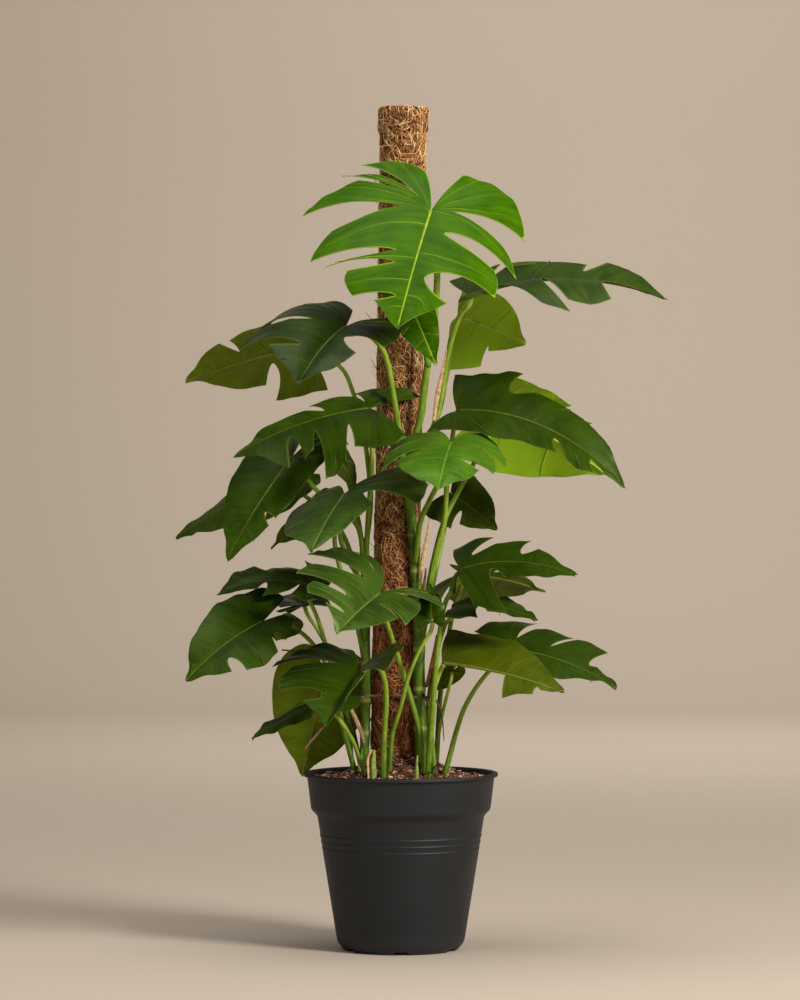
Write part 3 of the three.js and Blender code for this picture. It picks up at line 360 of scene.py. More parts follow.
def potProfile():
    # radius and height, from the middle of the underside over the lip to the middle of the floor
    wall, top, floor, pad, foot, bandTop, lip = (
        pot[key] for key in ("wall", "height", "floorHeight", "padRadius", "foot", "bandTop", "lip"))
    (body, bodyHeight), (step, stepHeight), (band, bandHeight) = pot["bodyFoot"], pot["step"], pot["bandFoot"]
    inner, lipFoot, lipRound = foot - pot["footWidth"], top - pot["lipHeight"], pot["lipRound"]
    rings = []
    for height in pot["ringHeights"]:
        radius = body + (height - bodyHeight) / (stepHeight - bodyHeight) * (step - body)
        for part, proud, size in zip((-1, 0, 1), (0, pot["ringRelief"], 0), pot["ringRounds"]):
            rings.append((radius + proud, height + part * pot["ringHalfHeight"], size))
    return rounded([
        (0, 0), (pad, 0), (pad + floor, floor), (inner, floor), (inner, 0), (foot, 0), (body, bodyHeight, 5),
        *rings, (step, stepHeight, 3), (band, bandHeight, 3), (bandTop, lipFoot - 1.5, 1), (lip, lipFoot, 1),
        (lip, top, lipRound), (bandTop, top, lipRound), (bandTop - wall, top - 2.5, 1.5),
        (band - wall, bandHeight + wall), (step - wall, stepHeight + wall), (body - wall, bodyHeight),
        (foot, floor + wall), (0, floor + wall)])


def potFinish():
    paint = Finish("blackPotPlastic")
    shade = paint.ramp(paint.noise(9, 5), *pot["tones"])
    scuffs = paint.noise(4, 6, 0.65, paint.stretched((6, 6, 160)))
    dust = paint.span(paint.height(), 0.03, 0.0, 0, 0.25)          # in the lowest 3 cm
    dusty = paint.maths("ADD", paint.span(scuffs, 0.62, 0.8, 0, 0.35), dust, clamp=True)
    colour = paint.mix(dusty, shade, tone(*pot["dustTone"]))
    return paint.done(colour, paint.span(scuffs, 0.2, 0.8, *pot["rough"]), gloss=0.42, tint=(0.9, 0.96, 1.0),
                      relief=paint.noise(1900, 2), strength=0.22, depth=0.0003)


def makePot():
    profile, count = potProfile(), pot["segments"]
    ring = profile[1:-1]
    points = [(radius * math.cos(turn), radius * math.sin(turn), height)
              for radius, height in ring for turn in ringTurns(count)]
    points += [(0, 0, profile[0][1]), (0, 0, profile[-1][1])]
    end = len(ring) * count
    faces = wallFaces(len(ring), count) + fan(end, 0, count, True) + fan(end + 1, end - count, count)
    points = np.array(points)
    away = np.hypot(points[:, 0], points[:, 1])
    turns = np.degrees(np.arctan2(points[:, 1], points[:, 0])) + 90
    each = 360 / pot["notchCount"]
    fromNotch = np.radians(np.abs((turns + each / 2) % each - each / 2)) * away
    inNotch = ((away > pot["foot"] - pot["footWidth"] - 1) & (points[:, 2] < pot["notchHeight"])
               & (away < pot["bodyFoot"][0]) & (fromNotch < pot["notchWidth"] / 2))
    points[inNotch, 2] = pot["notchHeight"]
    body = singlePiece("nurseryPot", points, faces, potFinish(), "pot_plastic")
    drill = Heap()
    for i in range(pot["holeCount"]):
        turn = math.radians(360 / pot["holeCount"] * (i + 0.5))
        x, y = math.cos(turn) * pot["holeCircle"], math.sin(turn) * pot["holeCircle"]
        drill.add(*tube(np.array(((x, y, -4), (x, y, 4), (x, y, 9)), float), pot["holeRadius"], 24))
    cutter = drill.piece("drainDrill", [], "pot_plastic")
    holes = body.modifiers.new("drainHoles", "BOOLEAN")
    holes.object = cutter
    with bpy.context.temp_override(object=body):
        bpy.ops.object.modifier_apply(modifier=holes.name)
    bpy.data.objects.remove(cutter)
    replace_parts(body, "nursery_pot")


makePot()
print("pot ready")


# Soil and loose matter.

soil = {
    "edgeHeight": 238, "moundHeight": 42, "moundRadius": 62, "lumpHeight": 1.6, "lumpSize": 9,
    "lumpDrift": 20, "radius": 128.6, "rings": 96, "segments": 260, "gap": 0.35, "seed": 11,
    "crumbRelief": 2.2, "crumbSize": 7, "crumbRoughness": (0.7, 2.1, 4),
    # count, smallest and largest size, flatness and how far they stand out
    "bark": (1500, 2.8, 10, 0.45, 0.12), "crumbs": (3200, 0.8, 2.6, 0.8, 0.2),
    "perlite": (620, 1.2, 3.6, 0.9, 0.3),
    "chipArea": 0.985, "chipPower": 2.2, "chipLength": (0.6, 1.3), "chipWidth": (0.4, 0.9),
    "chipWarp": 0.12, "chipTilt": 0.6,
    "tones": ((0.34, 24, 15, 10), (0.5, 74, 47, 32), (0.66, 146, 102, 72)),
    "barkTones": ((0.0, 46, 26, 18), (0.35, 128, 78, 52), (0.7, 214, 144, 100), (1.0, 250, 208, 164)),
    "perliteTones": ((0.0, 226, 214, 196), (1.0, 255, 253, 248)),
}
chipCorners = np.array([(0, 0, 1), (1, 0, 0.1), (0.2, 1, 0), (-1, 0.15, 0.1), (-0.1, -1, 0), (0, 0.1, -1)])
chipFaces = [(0, 1, 2), (0, 2, 3), (0, 3, 4), (0, 4, 1), (5, 2, 1), (5, 3, 2), (5, 4, 3), (5, 1, 4)]


def soilHeight(x, y):
    mound = soil["moundHeight"] * np.exp(-((np.hypot(x, y) / soil["moundRadius"]) ** 2))
    lump = np.sin(x / soil["lumpSize"]) * np.cos(y / soil["lumpSize"] + x / soil["lumpDrift"])
    return float(soil["edgeHeight"] + mound + soil["lumpHeight"] * lump)


def crumblyHeight(x, y):
    size = soil["crumbSize"]
    rough = noise.fractal(Vector((x / size, y / size, 3.1)), *soil["crumbRoughness"])
    return soilHeight(x, y) + soil["crumbRelief"] * max(-1.0, min(1.0, rough))


def chipFinish(name, stops, grainScale, rough):
    # each chip has its own shade
    paint = Finish(name)
    grain = paint.noise(grainScale, 4, 0.6)
    darker = paint.mix(0.3, paint.ramp(paint.stored("shade"), *stops), grain, "MULTIPLY")
    return paint.done(darker, rough, relief=grain, strength=0.5, depth=0.0005)


def scatterChips(heap, draw, count, smallest, largest, flatness, proud):
    warp, tilt = soil["chipWarp"], soil["chipTilt"]
    for _ in range(count):
        turn = draw.uniform(0, 2 * math.pi)
        away = soil["radius"] * math.sqrt(draw.random()) * soil["chipArea"]
        x, y = away * math.cos(turn), away * math.sin(turn)
        size = smallest + (largest - smallest) * draw.random() ** soil["chipPower"]
        stretch = draw.uniform(*soil["chipLength"]), draw.uniform(*soil["chipWidth"]), flatness
        shape = chipCorners * (size / 2) * stretch
        shape = shape + np.array([[draw.uniform(-warp, warp) * size for _ in range(3)] for _ in range(6)])
        spin = Vector((draw.uniform(-tilt, tilt), draw.uniform(-tilt, tilt), 1)).to_track_quat("Z", "Y")
        spin.rotate(Vector((math.cos(turn * 7), math.sin(turn * 7), 0)).to_track_quat("X", "Z"))
        turned = shape @ np.array(spin.to_matrix()).T
        heap.add(turned + (x, y, crumblyHeight(x, y) + size * proud), chipFaces, shade=draw.random())


def makeSoil():
    count, rings = soil["segments"], soil["rings"]
    turns = ringTurns(count)
    points = [(0, 0, soilHeight(0, 0))]
    for radius in soil["radius"] * np.linspace(0, 1, rings + 1)[1:]:
        for turn in turns:
            x, y = radius * math.cos(turn), radius * math.sin(turn)
            points.append((x, y, crumblyHeight(x, y)))
    faces = fan(0, 1, count)
    starts = [1 + i * count for i in range(rings)]
    # the wall and floor of the root ball, just inside the pot
    inset = pot["wall"] + soil["gap"]
    under = [(radius - inset, height + rise) for (radius, height), rise in (
        (pot["bandFoot"], inset), (pot["step"], inset), (pot["bodyFoot"], 0))]
    floor = pot["floorHeight"] + inset
    for radius, height in (*under, (pot["foot"] - soil["gap"], floor)):
        starts.append(len(points))
        points += [(radius * math.cos(turn), radius * math.sin(turn), height) for turn in turns]
    for low, high in zip(starts, starts[1:]):
        faces += [(a, d, c, b) for a, b, c, d in ringFaces(low, high, count)]
    points.append((0, 0, floor))
    faces += fan(len(points) - 1, starts[-1], count, True)
    finish = mottled("pottingMix", (420, 6, 0.7), soil["tones"], 0.95, strength=0.9, depth=0.0015, gloss=0.25)
    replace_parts(singlePiece("pottingSoil", points, faces, finish, "soil"), "soil")
    draw = random.Random(soil["seed"])
    bark, perlite = Heap(), Heap()
    scatterChips(bark, draw, *soil["bark"])
    scatterChips(bark, draw, *soil["crumbs"])
    bark.piece("soilBark", [chipFinish("barkChips", soil["barkTones"], 700, 0.85)], "soil")
    scatterChips(perlite, draw, *soil["perlite"])
    perlite.piece("soilPerlite", [chipFinish("perliteGrains", soil["perliteTones"], 900, 0.8)], "soil")


makeSoil()
print("soil ready")


# Coir pole.

pole = {
    "foot": (-12.6, 0, 70), "top": (4, 0, 1178), "radius": 31, "headRadius": 34.5, "headLength": 36,
    "headRound": 5, "lumpHeight": 1.1, "lumpsRound": 3, "lumpWaves": (41, 29), "sleeveStart": 40,
    "segments": 120, "rowLength": 3.0, "matRelief": 1.1, "matSink": 1.2,
    "dish": ((0.8, 1.5), (0.6, 4.5), (0.4, 8), (0.2, 10)), "dishDepth": 11,      # share of the radius, depth
    "fibreFoot": 165.0, "fibreMiddle": 660.0, "fibreCount": 7300, "fibreLength": (7, 26),
    "fibreRadius": (0.22, 0.55), "fibreSteps": 4, "fibreSlant": 0.95, "fibreBend": 0.5,
    "fibreDepth": (-0.7, 0.7), "fibreArch": 0.9, "looseCount": 260, "looseRadius": 0.25, "looseRise": (4, 11),
    "topCount": 900, "topLength": (8, 24), "topDrop": 9.5, "topRough": (-0.4, 0.6),
    "seed": 5,
    "matTones": ((0.38, 30, 15, 8), (0.54, 110, 63, 34), (0.72, 202, 142, 84)),
    "fibreTones": ((0.0, 88, 48, 22), (0.3, 194, 126, 65), (0.66, 250, 192, 114), (1.0, 255, 234, 176)),
    # below these heights in metres the fibres darken: partly damp coir, partly painted shade of the leaves
    # above
    "dampAndShadeTone": (196, 142, 96), "dampAndShadeHeights": (0.44, 0.66),
    "stakeTones": ((0.35, 150, 106, 62), (0.65, 205, 164, 112)),
}
poleFoot, poleTop = np.array(pole["foot"], float), np.array(pole["top"], float)
poleLength = float(np.linalg.norm(poleTop - poleFoot))
poleAxis = (poleTop - poleFoot) / poleLength
poleRight = unit(np.cross((0.0, 1.0, 0.0), poleAxis))
poleBack = np.cross(poleAxis, poleRight)


def sleeveRadius(turn, height):
    # outer radius of the sleeve, wider where the coir is folded in at the top
    slow, fast = pole["lumpWaves"]
    lump = math.sin(pole["lumpsRound"] * turn + height / slow) * math.sin(height / fast) * pole["lumpHeight"]
    shoulder = poleLength - pole["headLength"]
    blend = min(1.0, max(0.0, (height - shoulder + 4) / 9))
    base = pole["radius"] + (pole["headRadius"] - pole["radius"]) * blend * blend * (3 - 2 * blend)
    fromTop = max(0.0, height - (poleLength - pole["headRound"])) / pole["headRound"]
    return base + lump - pole["headRound"] * (1 - math.sqrt(max(0.0, 1 - fromTop ** 2)))


def onPole(turn, height, away):
    return poleFoot + poleAxis * height + (poleRight * math.cos(turn) + poleBack * math.sin(turn)) * away


def coirRough(turn, size, height):
    return noise.fractal(Vector((math.cos(turn) * size, math.sin(turn) * size, height)), 0.8, 2.2, 3)


def sleeveShape():
    low, high, count = pole["sleeveStart"], poleLength - pole["headRound"], pole["segments"]
    turns = ringTurns(count)
    heights = list(np.linspace(low, high, int((high - low) / pole["rowLength"])))
    heights += [poleLength - pole["headRound"] * (1 - math.sin(math.radians(a))) for a in (25, 50, 75, 88)]
    points = []
    for height in heights:
        for turn in turns:
            relief = pole["matRelief"] * max(-1, min(1, coirRough(turn, 9, height / 4.5)))
            points.append(onPole(turn, height, sleeveRadius(turn, height) - pole["matSink"] + relief))
    # the top, dished where the coir is tucked in
    for share, drop in pole["dish"]:
        away = (pole["headRadius"] - pole["headRound"]) * share
        for turn in turns:
            points.append(onPole(turn, poleLength - drop + coirRough(turn, share * 7, 4) * 1.2, away))
    end = len(points)
    points += [onPole(0, poleLength - pole["dishDepth"], 0), onPole(0, low, 0)]
    faces = wallFaces(end // count, count)
    return points, faces + fan(end, end - count, count) + fan(end + 1, 0, count, True)


def coirFibreFinish():
    paint = Finish("coirFibres")
    shade = paint.ramp(paint.stored("shade"), *pole["fibreTones"])
    # darker towards the foot of the pole: partly damp coir, partly painted shade from the leaves
    dampAndShade = paint.span(paint.height(), *pole["dampAndShadeHeights"], 0.75, 0.0)
    colour = paint.mix(dampAndShade, shade, tone(*pole["dampAndShadeTone"]), "MULTIPLY")
    return paint.done(colour, 0.62, relief=paint.noise(1600, 2), strength=0.3, depth=0.0003)


def fibreLine(draw, height, loose):
    # a strand that lies on the sleeve, bent here and there, or a loose one that leaves it
    length = draw.uniform(*pole["fibreLength"])
    turn = draw.uniform(0, 2 * math.pi)
    slant = draw.gauss(0, pole["fibreSlant"])
    bend = draw.gauss(0, pole["fibreBend"])
    depth = draw.uniform(*pole["fibreDepth"])
    steps = pole["fibreSteps"]
    points = []
    for i in range(steps + 1):
        t = i / steps
        radius = sleeveRadius(turn, min(height, poleLength - 1))
        rise = depth + pole["fibreArch"] * math.sin(math.pi * t)
        if loose:
            rise += draw.uniform(*pole["looseRise"]) * t * t
        points.append(onPole(turn, min(height, poleLength - 1.2), radius + rise))
        heading = slant + bend * t
        height += length / steps * math.cos(heading)
        turn += length / steps * math.sin(heading) / radius
    return np.array(points)


def topFibre(draw):
    # a strand of the tucked-in top
    turn, away = draw.uniform(0, 2 * math.pi), (pole["headRadius"] - 3) * math.sqrt(draw.random())
    heading, length = draw.uniform(0, 2 * math.pi), draw.uniform(*pole["topLength"])
    start = np.array((away * math.cos(turn), away * math.sin(turn)))
    points = []
    for t in (0, 0.33, 0.66, 1):
        flat = start + np.array((math.cos(heading), math.sin(heading))) * length * (t - 0.5)
        out = min(float(np.hypot(*flat)), pole["headRadius"] - 2)
        drop = pole["topDrop"] * (1 - min(1, out / (pole["headRadius"] - 5)) ** 2)
        height = poleLength - drop - pole["matSink"] + draw.uniform(*pole["topRough"])
        points.append(onPole(math.atan2(flat[1], flat[0]), height, out))
    return np.array(points)


def makePole():
    mat = mottled("coirMat", (1, 6, 0.75), pole["matTones"], 0.95, strength=1.0, depth=0.002, gloss=0.2,
                  stretch=(420, 420, 150), turn=(0.5, 0.35, 0.2))
    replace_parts(singlePiece("coirSleeve", *sleeveShape(), mat, "coir"), "coir_sleeve")
    finish = coirFibreFinish()
    draw = random.Random(pole["seed"])
    low, middle = pole["fibreFoot"], pole["fibreMiddle"]
    for name, start, end in (("coirFibresLow", low, middle), ("coirFibresHigh", middle, poleLength - 2)):
        heap = Heap()
        for _ in range(pole["fibreCount"]):
            line = fibreLine(draw, draw.uniform(start, end), False)
            thick = draw.uniform(*pole["fibreRadius"])
            heap.add(*tube(line, thick, 3, closed=False), shade=draw.random() ** 1.5)
        for _ in range(pole["looseCount"]):
            line = fibreLine(draw, draw.uniform(start, end - 40), True)
            heap.add(*tube(line, pole["looseRadius"], 3, closed=False), shade=draw.uniform(0.2, 1))
        for _ in range(pole["topCount"] if end > middle else 0):
            thick = draw.uniform(*pole["fibreRadius"])
            heap.add(*tube(topFibre(draw), thick, 3, closed=False), shade=draw.random())
        heap.piece(name, [finish], "coir")
    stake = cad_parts["pole_stake"]
    stake.data.materials.clear()
    stake.data.materials.append(mottled("stakeWood", (1, 5, 0.6), pole["stakeTones"], 0.7, strength=0.3,
                                        depth=0.0005, stretch=(260, 260, 12)))


makePole()
print("pole ready")


# Leaf blades.
# A blade is drawn flat with its joint at the origin and a midrib of length 1, cut into lobes,
# bent and placed, as the CAD blade is. Here it gets veins, quilting, waves and finer margins.

blade = {
    "thickness": 0.8, "fanAngle": 66, "veinBend": 0.12, "tipRoot": 0.93, "columnCrowding": 1.5,
    "cornerTrim": 0.2, "hookLength": 0.08, "shapeStart": 0.62, "curlReach": 0.6,
    "columnAngle": 3.2, "ribSteps": 44, "veinAngle": 27, "innerRows": (0.12, 0.3, 0.5, 0.7, 0.88),
    "outerRows": (0, 0.015, 0.045, 0.09, 0.15, 0.22, 0.3, 0.39, 0.48, 0.57, 0.66, 0.75, 0.83, 0.9, 0.96, 1),
    "quilting": 1.3, "channel": 1.6, "channelWidth": 7, "channelEnd": 0.2,
    "sidePhase": 40, "veinFree": 0.7, "columnSpacing": 0.85,
    # height, then turns for each leaf, vein and lobe, and how fast they fade from the margin
    "waves": ((2.6, 5, 3.1, 1.7, 2.5), (1.3, 3, 7.3, 0, 5)), "waveLeafSize": 130,
    "ribRadius": 2.3, "ribLeast": 0.25, "ribTaper": 0.82, "ribFoot": 1.15, "ribSink": 0.8, "ribEnd": 0.985,
    "ribRows": 34, "ribSides": 8, "veinRadius": 0.8, "veinLeast": 0.18, "veinTaper": 0.75, "veinSink": 0.55,
    "veinEnd": 0.93, "veinRows": (6, 12), "veinSides": 5, "veinShortest": 12, "veinLeafSize": 190,
}
heart = {"atSide": 0.58, "ahead": 0.34, "aheadPower": 1.15, "point": 0.08, "pointAngle": 5,
         "notch": 0.33, "notchPower": 2.2}


@dataclass
class Leaf:
    # pairs are for the right and the left half. Angles are in degrees, those of the cuts from the tip.
    joint: tuple                 # where the stalk comes in
    tip: tuple
    face: tuple                  # the way that its upper side looks
    width: tuple                 # share of the heart shape's width
    fold: tuple                  # how far each half is raised beside the midrib
    curl: tuple                  # how far it bends down towards the margin
    droop: float                 # bend along the midrib
    back: tuple                  # where the margin ends beside the joint
    cuts: tuple                  # where the lobes are parted
    depth: float                 # share of the way out at which the cuts start
    gap: float                   # width of the cuts
    look: str = "deep"
    gaps: tuple = ((), ())       # width of each cut, where they differ
    reach: tuple = ((), ())      # length of each lobe
    lift: tuple = ((), ())       # rise of each lobe's end

    def __post_init__(self):
        # size: length of the midrib. tipward and upward: the directions at the joint.
        chord = np.array(self.tip, float) - self.joint
        half = math.radians(self.droop) / 2
        self.size = np.linalg.norm(chord) * half / math.sin(half)
        self.ahead = unit(chord)
        self.right = unit(np.cross(self.ahead, self.face))
        self.over = np.cross(self.right, self.ahead)
        self.tipward = self.ahead * math.cos(half) + self.over * math.sin(half)
        self.upward = self.over * math.cos(half) - self.ahead * math.sin(half)

    def placed(self, flat):
        # blade coordinates to millimetres in the frame of the CAD
        flat = np.asarray(flat) * self.size
        return self.joint + flat[:, :1] * self.right + flat[:, 1:2] * self.ahead + flat[:, 2:] * self.over


leaves = {
    "top": Leaf((41, -108, 1025), (-4, -228, 858), (-0.06, -0.78, 0.62), (1.35, 1.1), (6, 8), (24, 40), 14,
        (168, 160), ((136, 122, 76, 41, 34, 14), (79, 55, 27)), 0.24, 5, "fresh", gaps=((5, 4, 28, 6, 7, 5),
        (22, 9, 18)), reach=((1.16, 1.04, 1.06, 1.05, 0.98, 1.03, 1.06), (0.95, 1.08, 1.16, 1.25))),
    "upper_back": Leaf((80, 55, 890), (179, 100, 850), (-0.3, 0.75, 0.6), (0.95, 1.35), (0, 0), (15, 15),
        20, (106, 66), ((), (28,)), 0.5, 4, "glowing", reach=((0.9,), (0.95, 0.5))),
    "upper_right": Leaf((95, -35, 914), (368, -80, 904), (0, 0.16, 0.98), (0.62, 0.8), (-10, 34), (72, 6),
        44, (96, 98), ((60, 44, 18), (62, 30)), 0.3, 5, gaps=((10, 4, 12), ()), reach=((0.4, 1.4, 1.5, 0.6),
        (0.6, 0.55, 1.05))),
    "right_high": Leaf((77, -52, 753), (307, -112, 643), (0.15, -0.55, 0.8), (0.36, 0.66), (0, 20),
        (20, 30), 64, (98, 102), ((30, 13), (54,)), 0.4, 5, gaps=((), (14,)), reach=((1.08, 1.42, 0.8),
        (0.76, 0.36))),
    "right_back": Leaf((136, 36, 753), (292, 64, 664), (0.25, 0.8, 0.5), (0.7, 0.95), (0, 0), (20, 10), 30,
        (98, 112), ((45, 26), ()), 0.36, 6, "glowing", reach=((1, 1.12, 1.2), (0.95,))),
    "middle_front": Leaf((68, -156, 708), (50, -270, 641), (0, -0.5, 0.86), (1.3, 1.05), (6, 4), (40, 48),
        20, (156, 156), ((84, 52), (74, 40)), 0.35, 9, "bright"),
    "left_high": Leaf((-75, -125, 867), (-137, -245, 781), (-0.1, -0.5, 0.86), (1.5, 0.9), (34, 8),
        (60, 26), 30, (168, 140), ((84, 56, 28), (48,)), 0.3, 6, "dark", gaps=((5, 6, 8), (22,)),
        reach=((0.95, 1.1, 1.18, 1.05), (0.98, 1.1))),
    "far_left_high": Leaf((-146, 30, 844), (-307, 95, 796), (-0.1, 0.75, 0.6), (0.7, 0.72), (4, 4),
        (16, 26), 14, (94, 150), ((51,), (37,)), 0.3, 6, "olive", gaps=((10,), ()), reach=((1.2, 1.12),
        (0.68, 1.05))),
    "young_front": Leaf((10, -76, 904), (49, -100, 812), (0, -0.9, 0.4), (0.55, 0.52), (4, 4), (20, 20), 16,
        (150, 104), ((), ()), 0.5, 8, "fresh"),
    "left_upper": Leaf((-45, -75, 756), (-230, -120, 687), (-0.2, -0.34, 0.93), (0.24, 1.1), (34, -10),
        (24, 40), 26, (140, 110), ((84, 50), (56, 39, 27)), 0.3, 6, gaps=((), (5, 5, 8)),
        reach=((1.1, 0.9, 1), (0.64, 1.05, 0.78, 1.4))),
    "left_inner": Leaf((-100, 22, 708), (-62, 12, 639), (0.3, -0.8, 0.5), (0.55, 0.5), (4, 4), (24, 24), 24,
        (150, 150), ((80,), (70,)), 0.4, 9, "shaded"),
    "left_hanging": Leaf((-150, -75, 689), (-237, -130, 545), (-0.25, -0.8, 0.5), (0.7, 0.55), (-4, -6),
        (20, 20), 24, (160, 150), ((), (33,)), 0.4, 6, reach=((), (0.74, 1.05))),
    "far_left_low": Leaf((-177, 25, 656), (-319, 60, 573), (-0.3, -0.5, 0.8), (0.6, 0.6), (-10, -10),
        (30, 30), 16, (150, 150), ((70,), (70,)), 0.4, 8, "shaded"),
    "centre_left": Leaf((-77, -115, 638), (-119, -225, 559), (-0.1, -0.6, 0.8), (1.2, 1.15), (-14, 22),
        (24, 20), 20, (150, 150), ((92,), (62,)), 0.4, 9, "dusky", gaps=((2,), (22,)), reach=((0.62, 1),
        (1.25, 0.8))),
    "under_left": Leaf((-99, -5, 621), (-183, 25, 559), (-0.2, 0.6, 0.78), (0.6, 0.45), (4, 4), (16, 16),
        20, (96, 100), ((70,), (70,)), 0.4, 7),
    "left_split": Leaf((-136, -25, 515), (-256, -35, 496), (-0.1, -0.3, 0.95), (0.95, 0.6), (18, -6),
        (24, 30), 40, (168, 168), ((92, 46), (70, 40)), 0.28, 8, gaps=((4, 16), ()), reach=((0.85, 1.3, 1),
        ()), lift=((0, -0.22, 0), ())),
    "lower_left": Leaf((-190, -70, 462), (-292, -150, 381), (-0.3, -0.65, 0.7), (0.66, 0.95), (28, 4),
        (26, 30), 30, (150, 160), ((), (62, 28)), 0.55, 6, gaps=((), (2, 9)), reach=((), (0.5, 1.06, 1.4))),
    "lower_left_back": Leaf((-134, 10, 481), (-190, 110, 485), (-0.1, -0.2, 0.97), (0.5, 0.6), (4, 4),
        (22, 22), 24, (116, 108), ((80,), (80,)), 0.4, 8),
    "centre_low": Leaf((-28, -112, 501), (-86, -210, 448), (0.22, -0.7, 0.7), (1.35, 0.9), (28, 24),
        (34, 24), 24, (160, 146), ((136, 64, 34, 17), (100, 49)), 0.3, 6, "dusky", gaps=((4, 14, 6, 5),
        (16, 4)), reach=((1.15, 1.08, 1.3, 1.4, 1.4), (1.3, 1.12, 1.25))),
    "centre_small": Leaf((43, -94, 462), (40, -57, 512), (0, -0.75, 0.66), (0.5, 0.6), (4, 4), (24, 24), 20,
        (112, 112), ((), ()), 0.4, 8),
    "low_front": Leaf((-60, -115, 393), (-101, -205, 323), (-0.1, -0.6, 0.8), (1.25, 0.9), (20, 40),
        (26, 16), 26, (160, 150), ((75, 27), (58,)), 0.35, 6, gaps=((14, 14), ()), reach=((1.25, 1.25, 1.3),
        (1.15, 0.2))),
    "low_left_drooping": Leaf((-104, -78, 352), (-204, -118, 301), (-0.2, -0.3, 0.93), (0.6, 0.6), (-6, -6),
        (30, 30), 20, (168, 168), ((60,), (60,)), 0.4, 8),
    "low_left_back": Leaf((-107, 25, 372), (-140, 70, 236), (0, 0.9, 0.4), (0.84, 0.84), (2, 2), (14, 14),
        20, (150, 150), ((), ()), 0.4, 8, "olive"),
    "middle_right_inner": Leaf((70, 22, 639), (135, 5, 586), (0.1, -0.85, 0.5), (1.0, 0.9), (4, 4),
        (24, 24), 20, (104, 110), ((45,), ()), 0.35, 9, "shaded"),
    "right_low_twisted": Leaf((82, -64, 534), (242, -100, 523), (0.05, -0.35, 0.93), (0.62, 0.6), (-10, 20),
        (40, 24), 44, (98, 100), ((84, 50), (64, 34)), 0.35, 10, reach=((0.8, 1.35, 1), ()),
        lift=((0, -0.1, 0), ())),
    "right_low_back": Leaf((87, 8, 525), (206, 75, 497), (0.15, 0.7, 0.7), (0.35, 0.95), (-4, 6), (20, 20),
        24, (120, 120), ((80, 48), (80, 48)), 0.4, 8, "shaded"),
    "right_low_thin": Leaf((70, -50, 478), (187, -100, 461), (0, -0.2, 0.97), (0.6, 0.66), (-4, 10),
        (30, 24), 50, (84, 95), ((44,), (80, 44)), 0.3, 10),
    "low_right_big": Leaf((57, -60, 404), (223, -140, 365), (0.1, -0.6, 0.8), (0.7, 0.74), (-6, 8),
        (20, 20), 20, (31, 104), ((11,), ()), 0.4, 4, "olive", reach=((0.88, 0.35), (0.93,))),
    "low_right_far": Leaf((153, -55, 423), (297, -100, 369), (0.1, -0.4, 0.9), (0.4, 0.7), (-10, 14),
        (30, 24), 30, (60, 140), ((), (84, 49, 20)), 0.35, 5, gaps=((), (14, 4, 8)), reach=((1.2,),
        (1.25, 1, 1.35, 0.5))),
    "low_right_small": Leaf((72, -45, 391), (46, -20, 360), (0.2, 0.8, 0.5), (0.6, 0.6), (4, 4), (20, 20),
        20, (168, 168), ((), ()), 0.4, 8),
}


def marginRadius(angle):
    ahead = np.maximum(0, 1 - np.sin(np.radians(np.minimum(angle, 90))))
    behind = np.maximum(0, angle - 90) / 90
    front = heart["ahead"] * ahead ** heart["aheadPower"]
    point = heart["point"] * np.exp(-((angle / heart["pointAngle"]) ** 2))
    return heart["atSide"] + front + point - heart["notch"] * behind ** heart["notchPower"]


def veinRoot(angle):
    return blade["tipRoot"] * np.maximum(0, 1 - angle / blade["fanAngle"]) ** 0.9


def flatPoint(leaf, side, angle, reach):
    radius, turn = marginRadius(angle), np.radians(angle)
    endX, endY, rootY = np.sin(turn) * radius * leaf.width[side], np.cos(turn) * radius, veinRoot(angle)
    bend = blade["veinBend"] * np.sin(np.radians(np.minimum(angle, 90)))
    midX = endX / 2 + (endY - rootY) * bend * 0.5
    midY = (endY + rootY) / 2 - endX * bend
    rootPart, midPart, endPart = (1 - reach) ** 2, 2 * reach * (1 - reach), reach ** 2
    return midPart * midX + endPart * endX, rootPart * rootY + midPart * midY + endPart * endY


def bentPoint(leaf, side, x, y, lift):
    start = math.radians(leaf.fold[side])
    bend = -math.radians(leaf.curl[side]) / blade["curlReach"]
    across = (np.sin(start + bend * x) - math.sin(start)) / bend
    rise = (math.cos(start) - np.cos(start + bend * x)) / bend + lift
    arch = math.radians(leaf.droop)
    slope = arch * (y - 0.5)
    along = (np.sin(slope) + math.sin(arch / 2)) / arch
    height = (np.cos(slope) - math.cos(arch / 2)) / arch
    along, height = along + rise * np.sin(slope), height + rise * np.cos(slope)
    return np.stack((-across if side else across, along, height), axis=-1)


def lobesOf(leaf, side):
    cuts = leaf.cuts[side]
    edges = (leaf.back[side], *cuts, 0)
    gaps = (0, *(leaf.gaps[side] or (leaf.gap,) * len(cuts)), 0)
    lengths, lifts = dict(enumerate(leaf.reach[side])), dict(enumerate(leaf.lift[side]))
    lobes = []
    for i, (start, end) in enumerate(zip(edges, edges[1:])):
        veins = max(1, round((start - end) / blade["veinAngle"]))
        lobes.append(SimpleNamespace(
            number=i, start=start, end=end, cutAtStart=i > 0, cutAtEnd=i < len(cuts),
            startGap=gaps[i], endGap=gaps[i + 1], length=lengths.get(i, 1), lift=lifts.get(i, 0),
            columns=max(7, round((start - end) / blade["columnAngle"])),
            veins=veins, phases=veins + (0 if i < len(cuts) else 0.5)))
    return lobes


def crowded(lobe, even):
    # columns stand closer together towards the tip
    return even if lobe.cutAtEnd else 1 - (1 - even) ** blade["columnCrowding"]


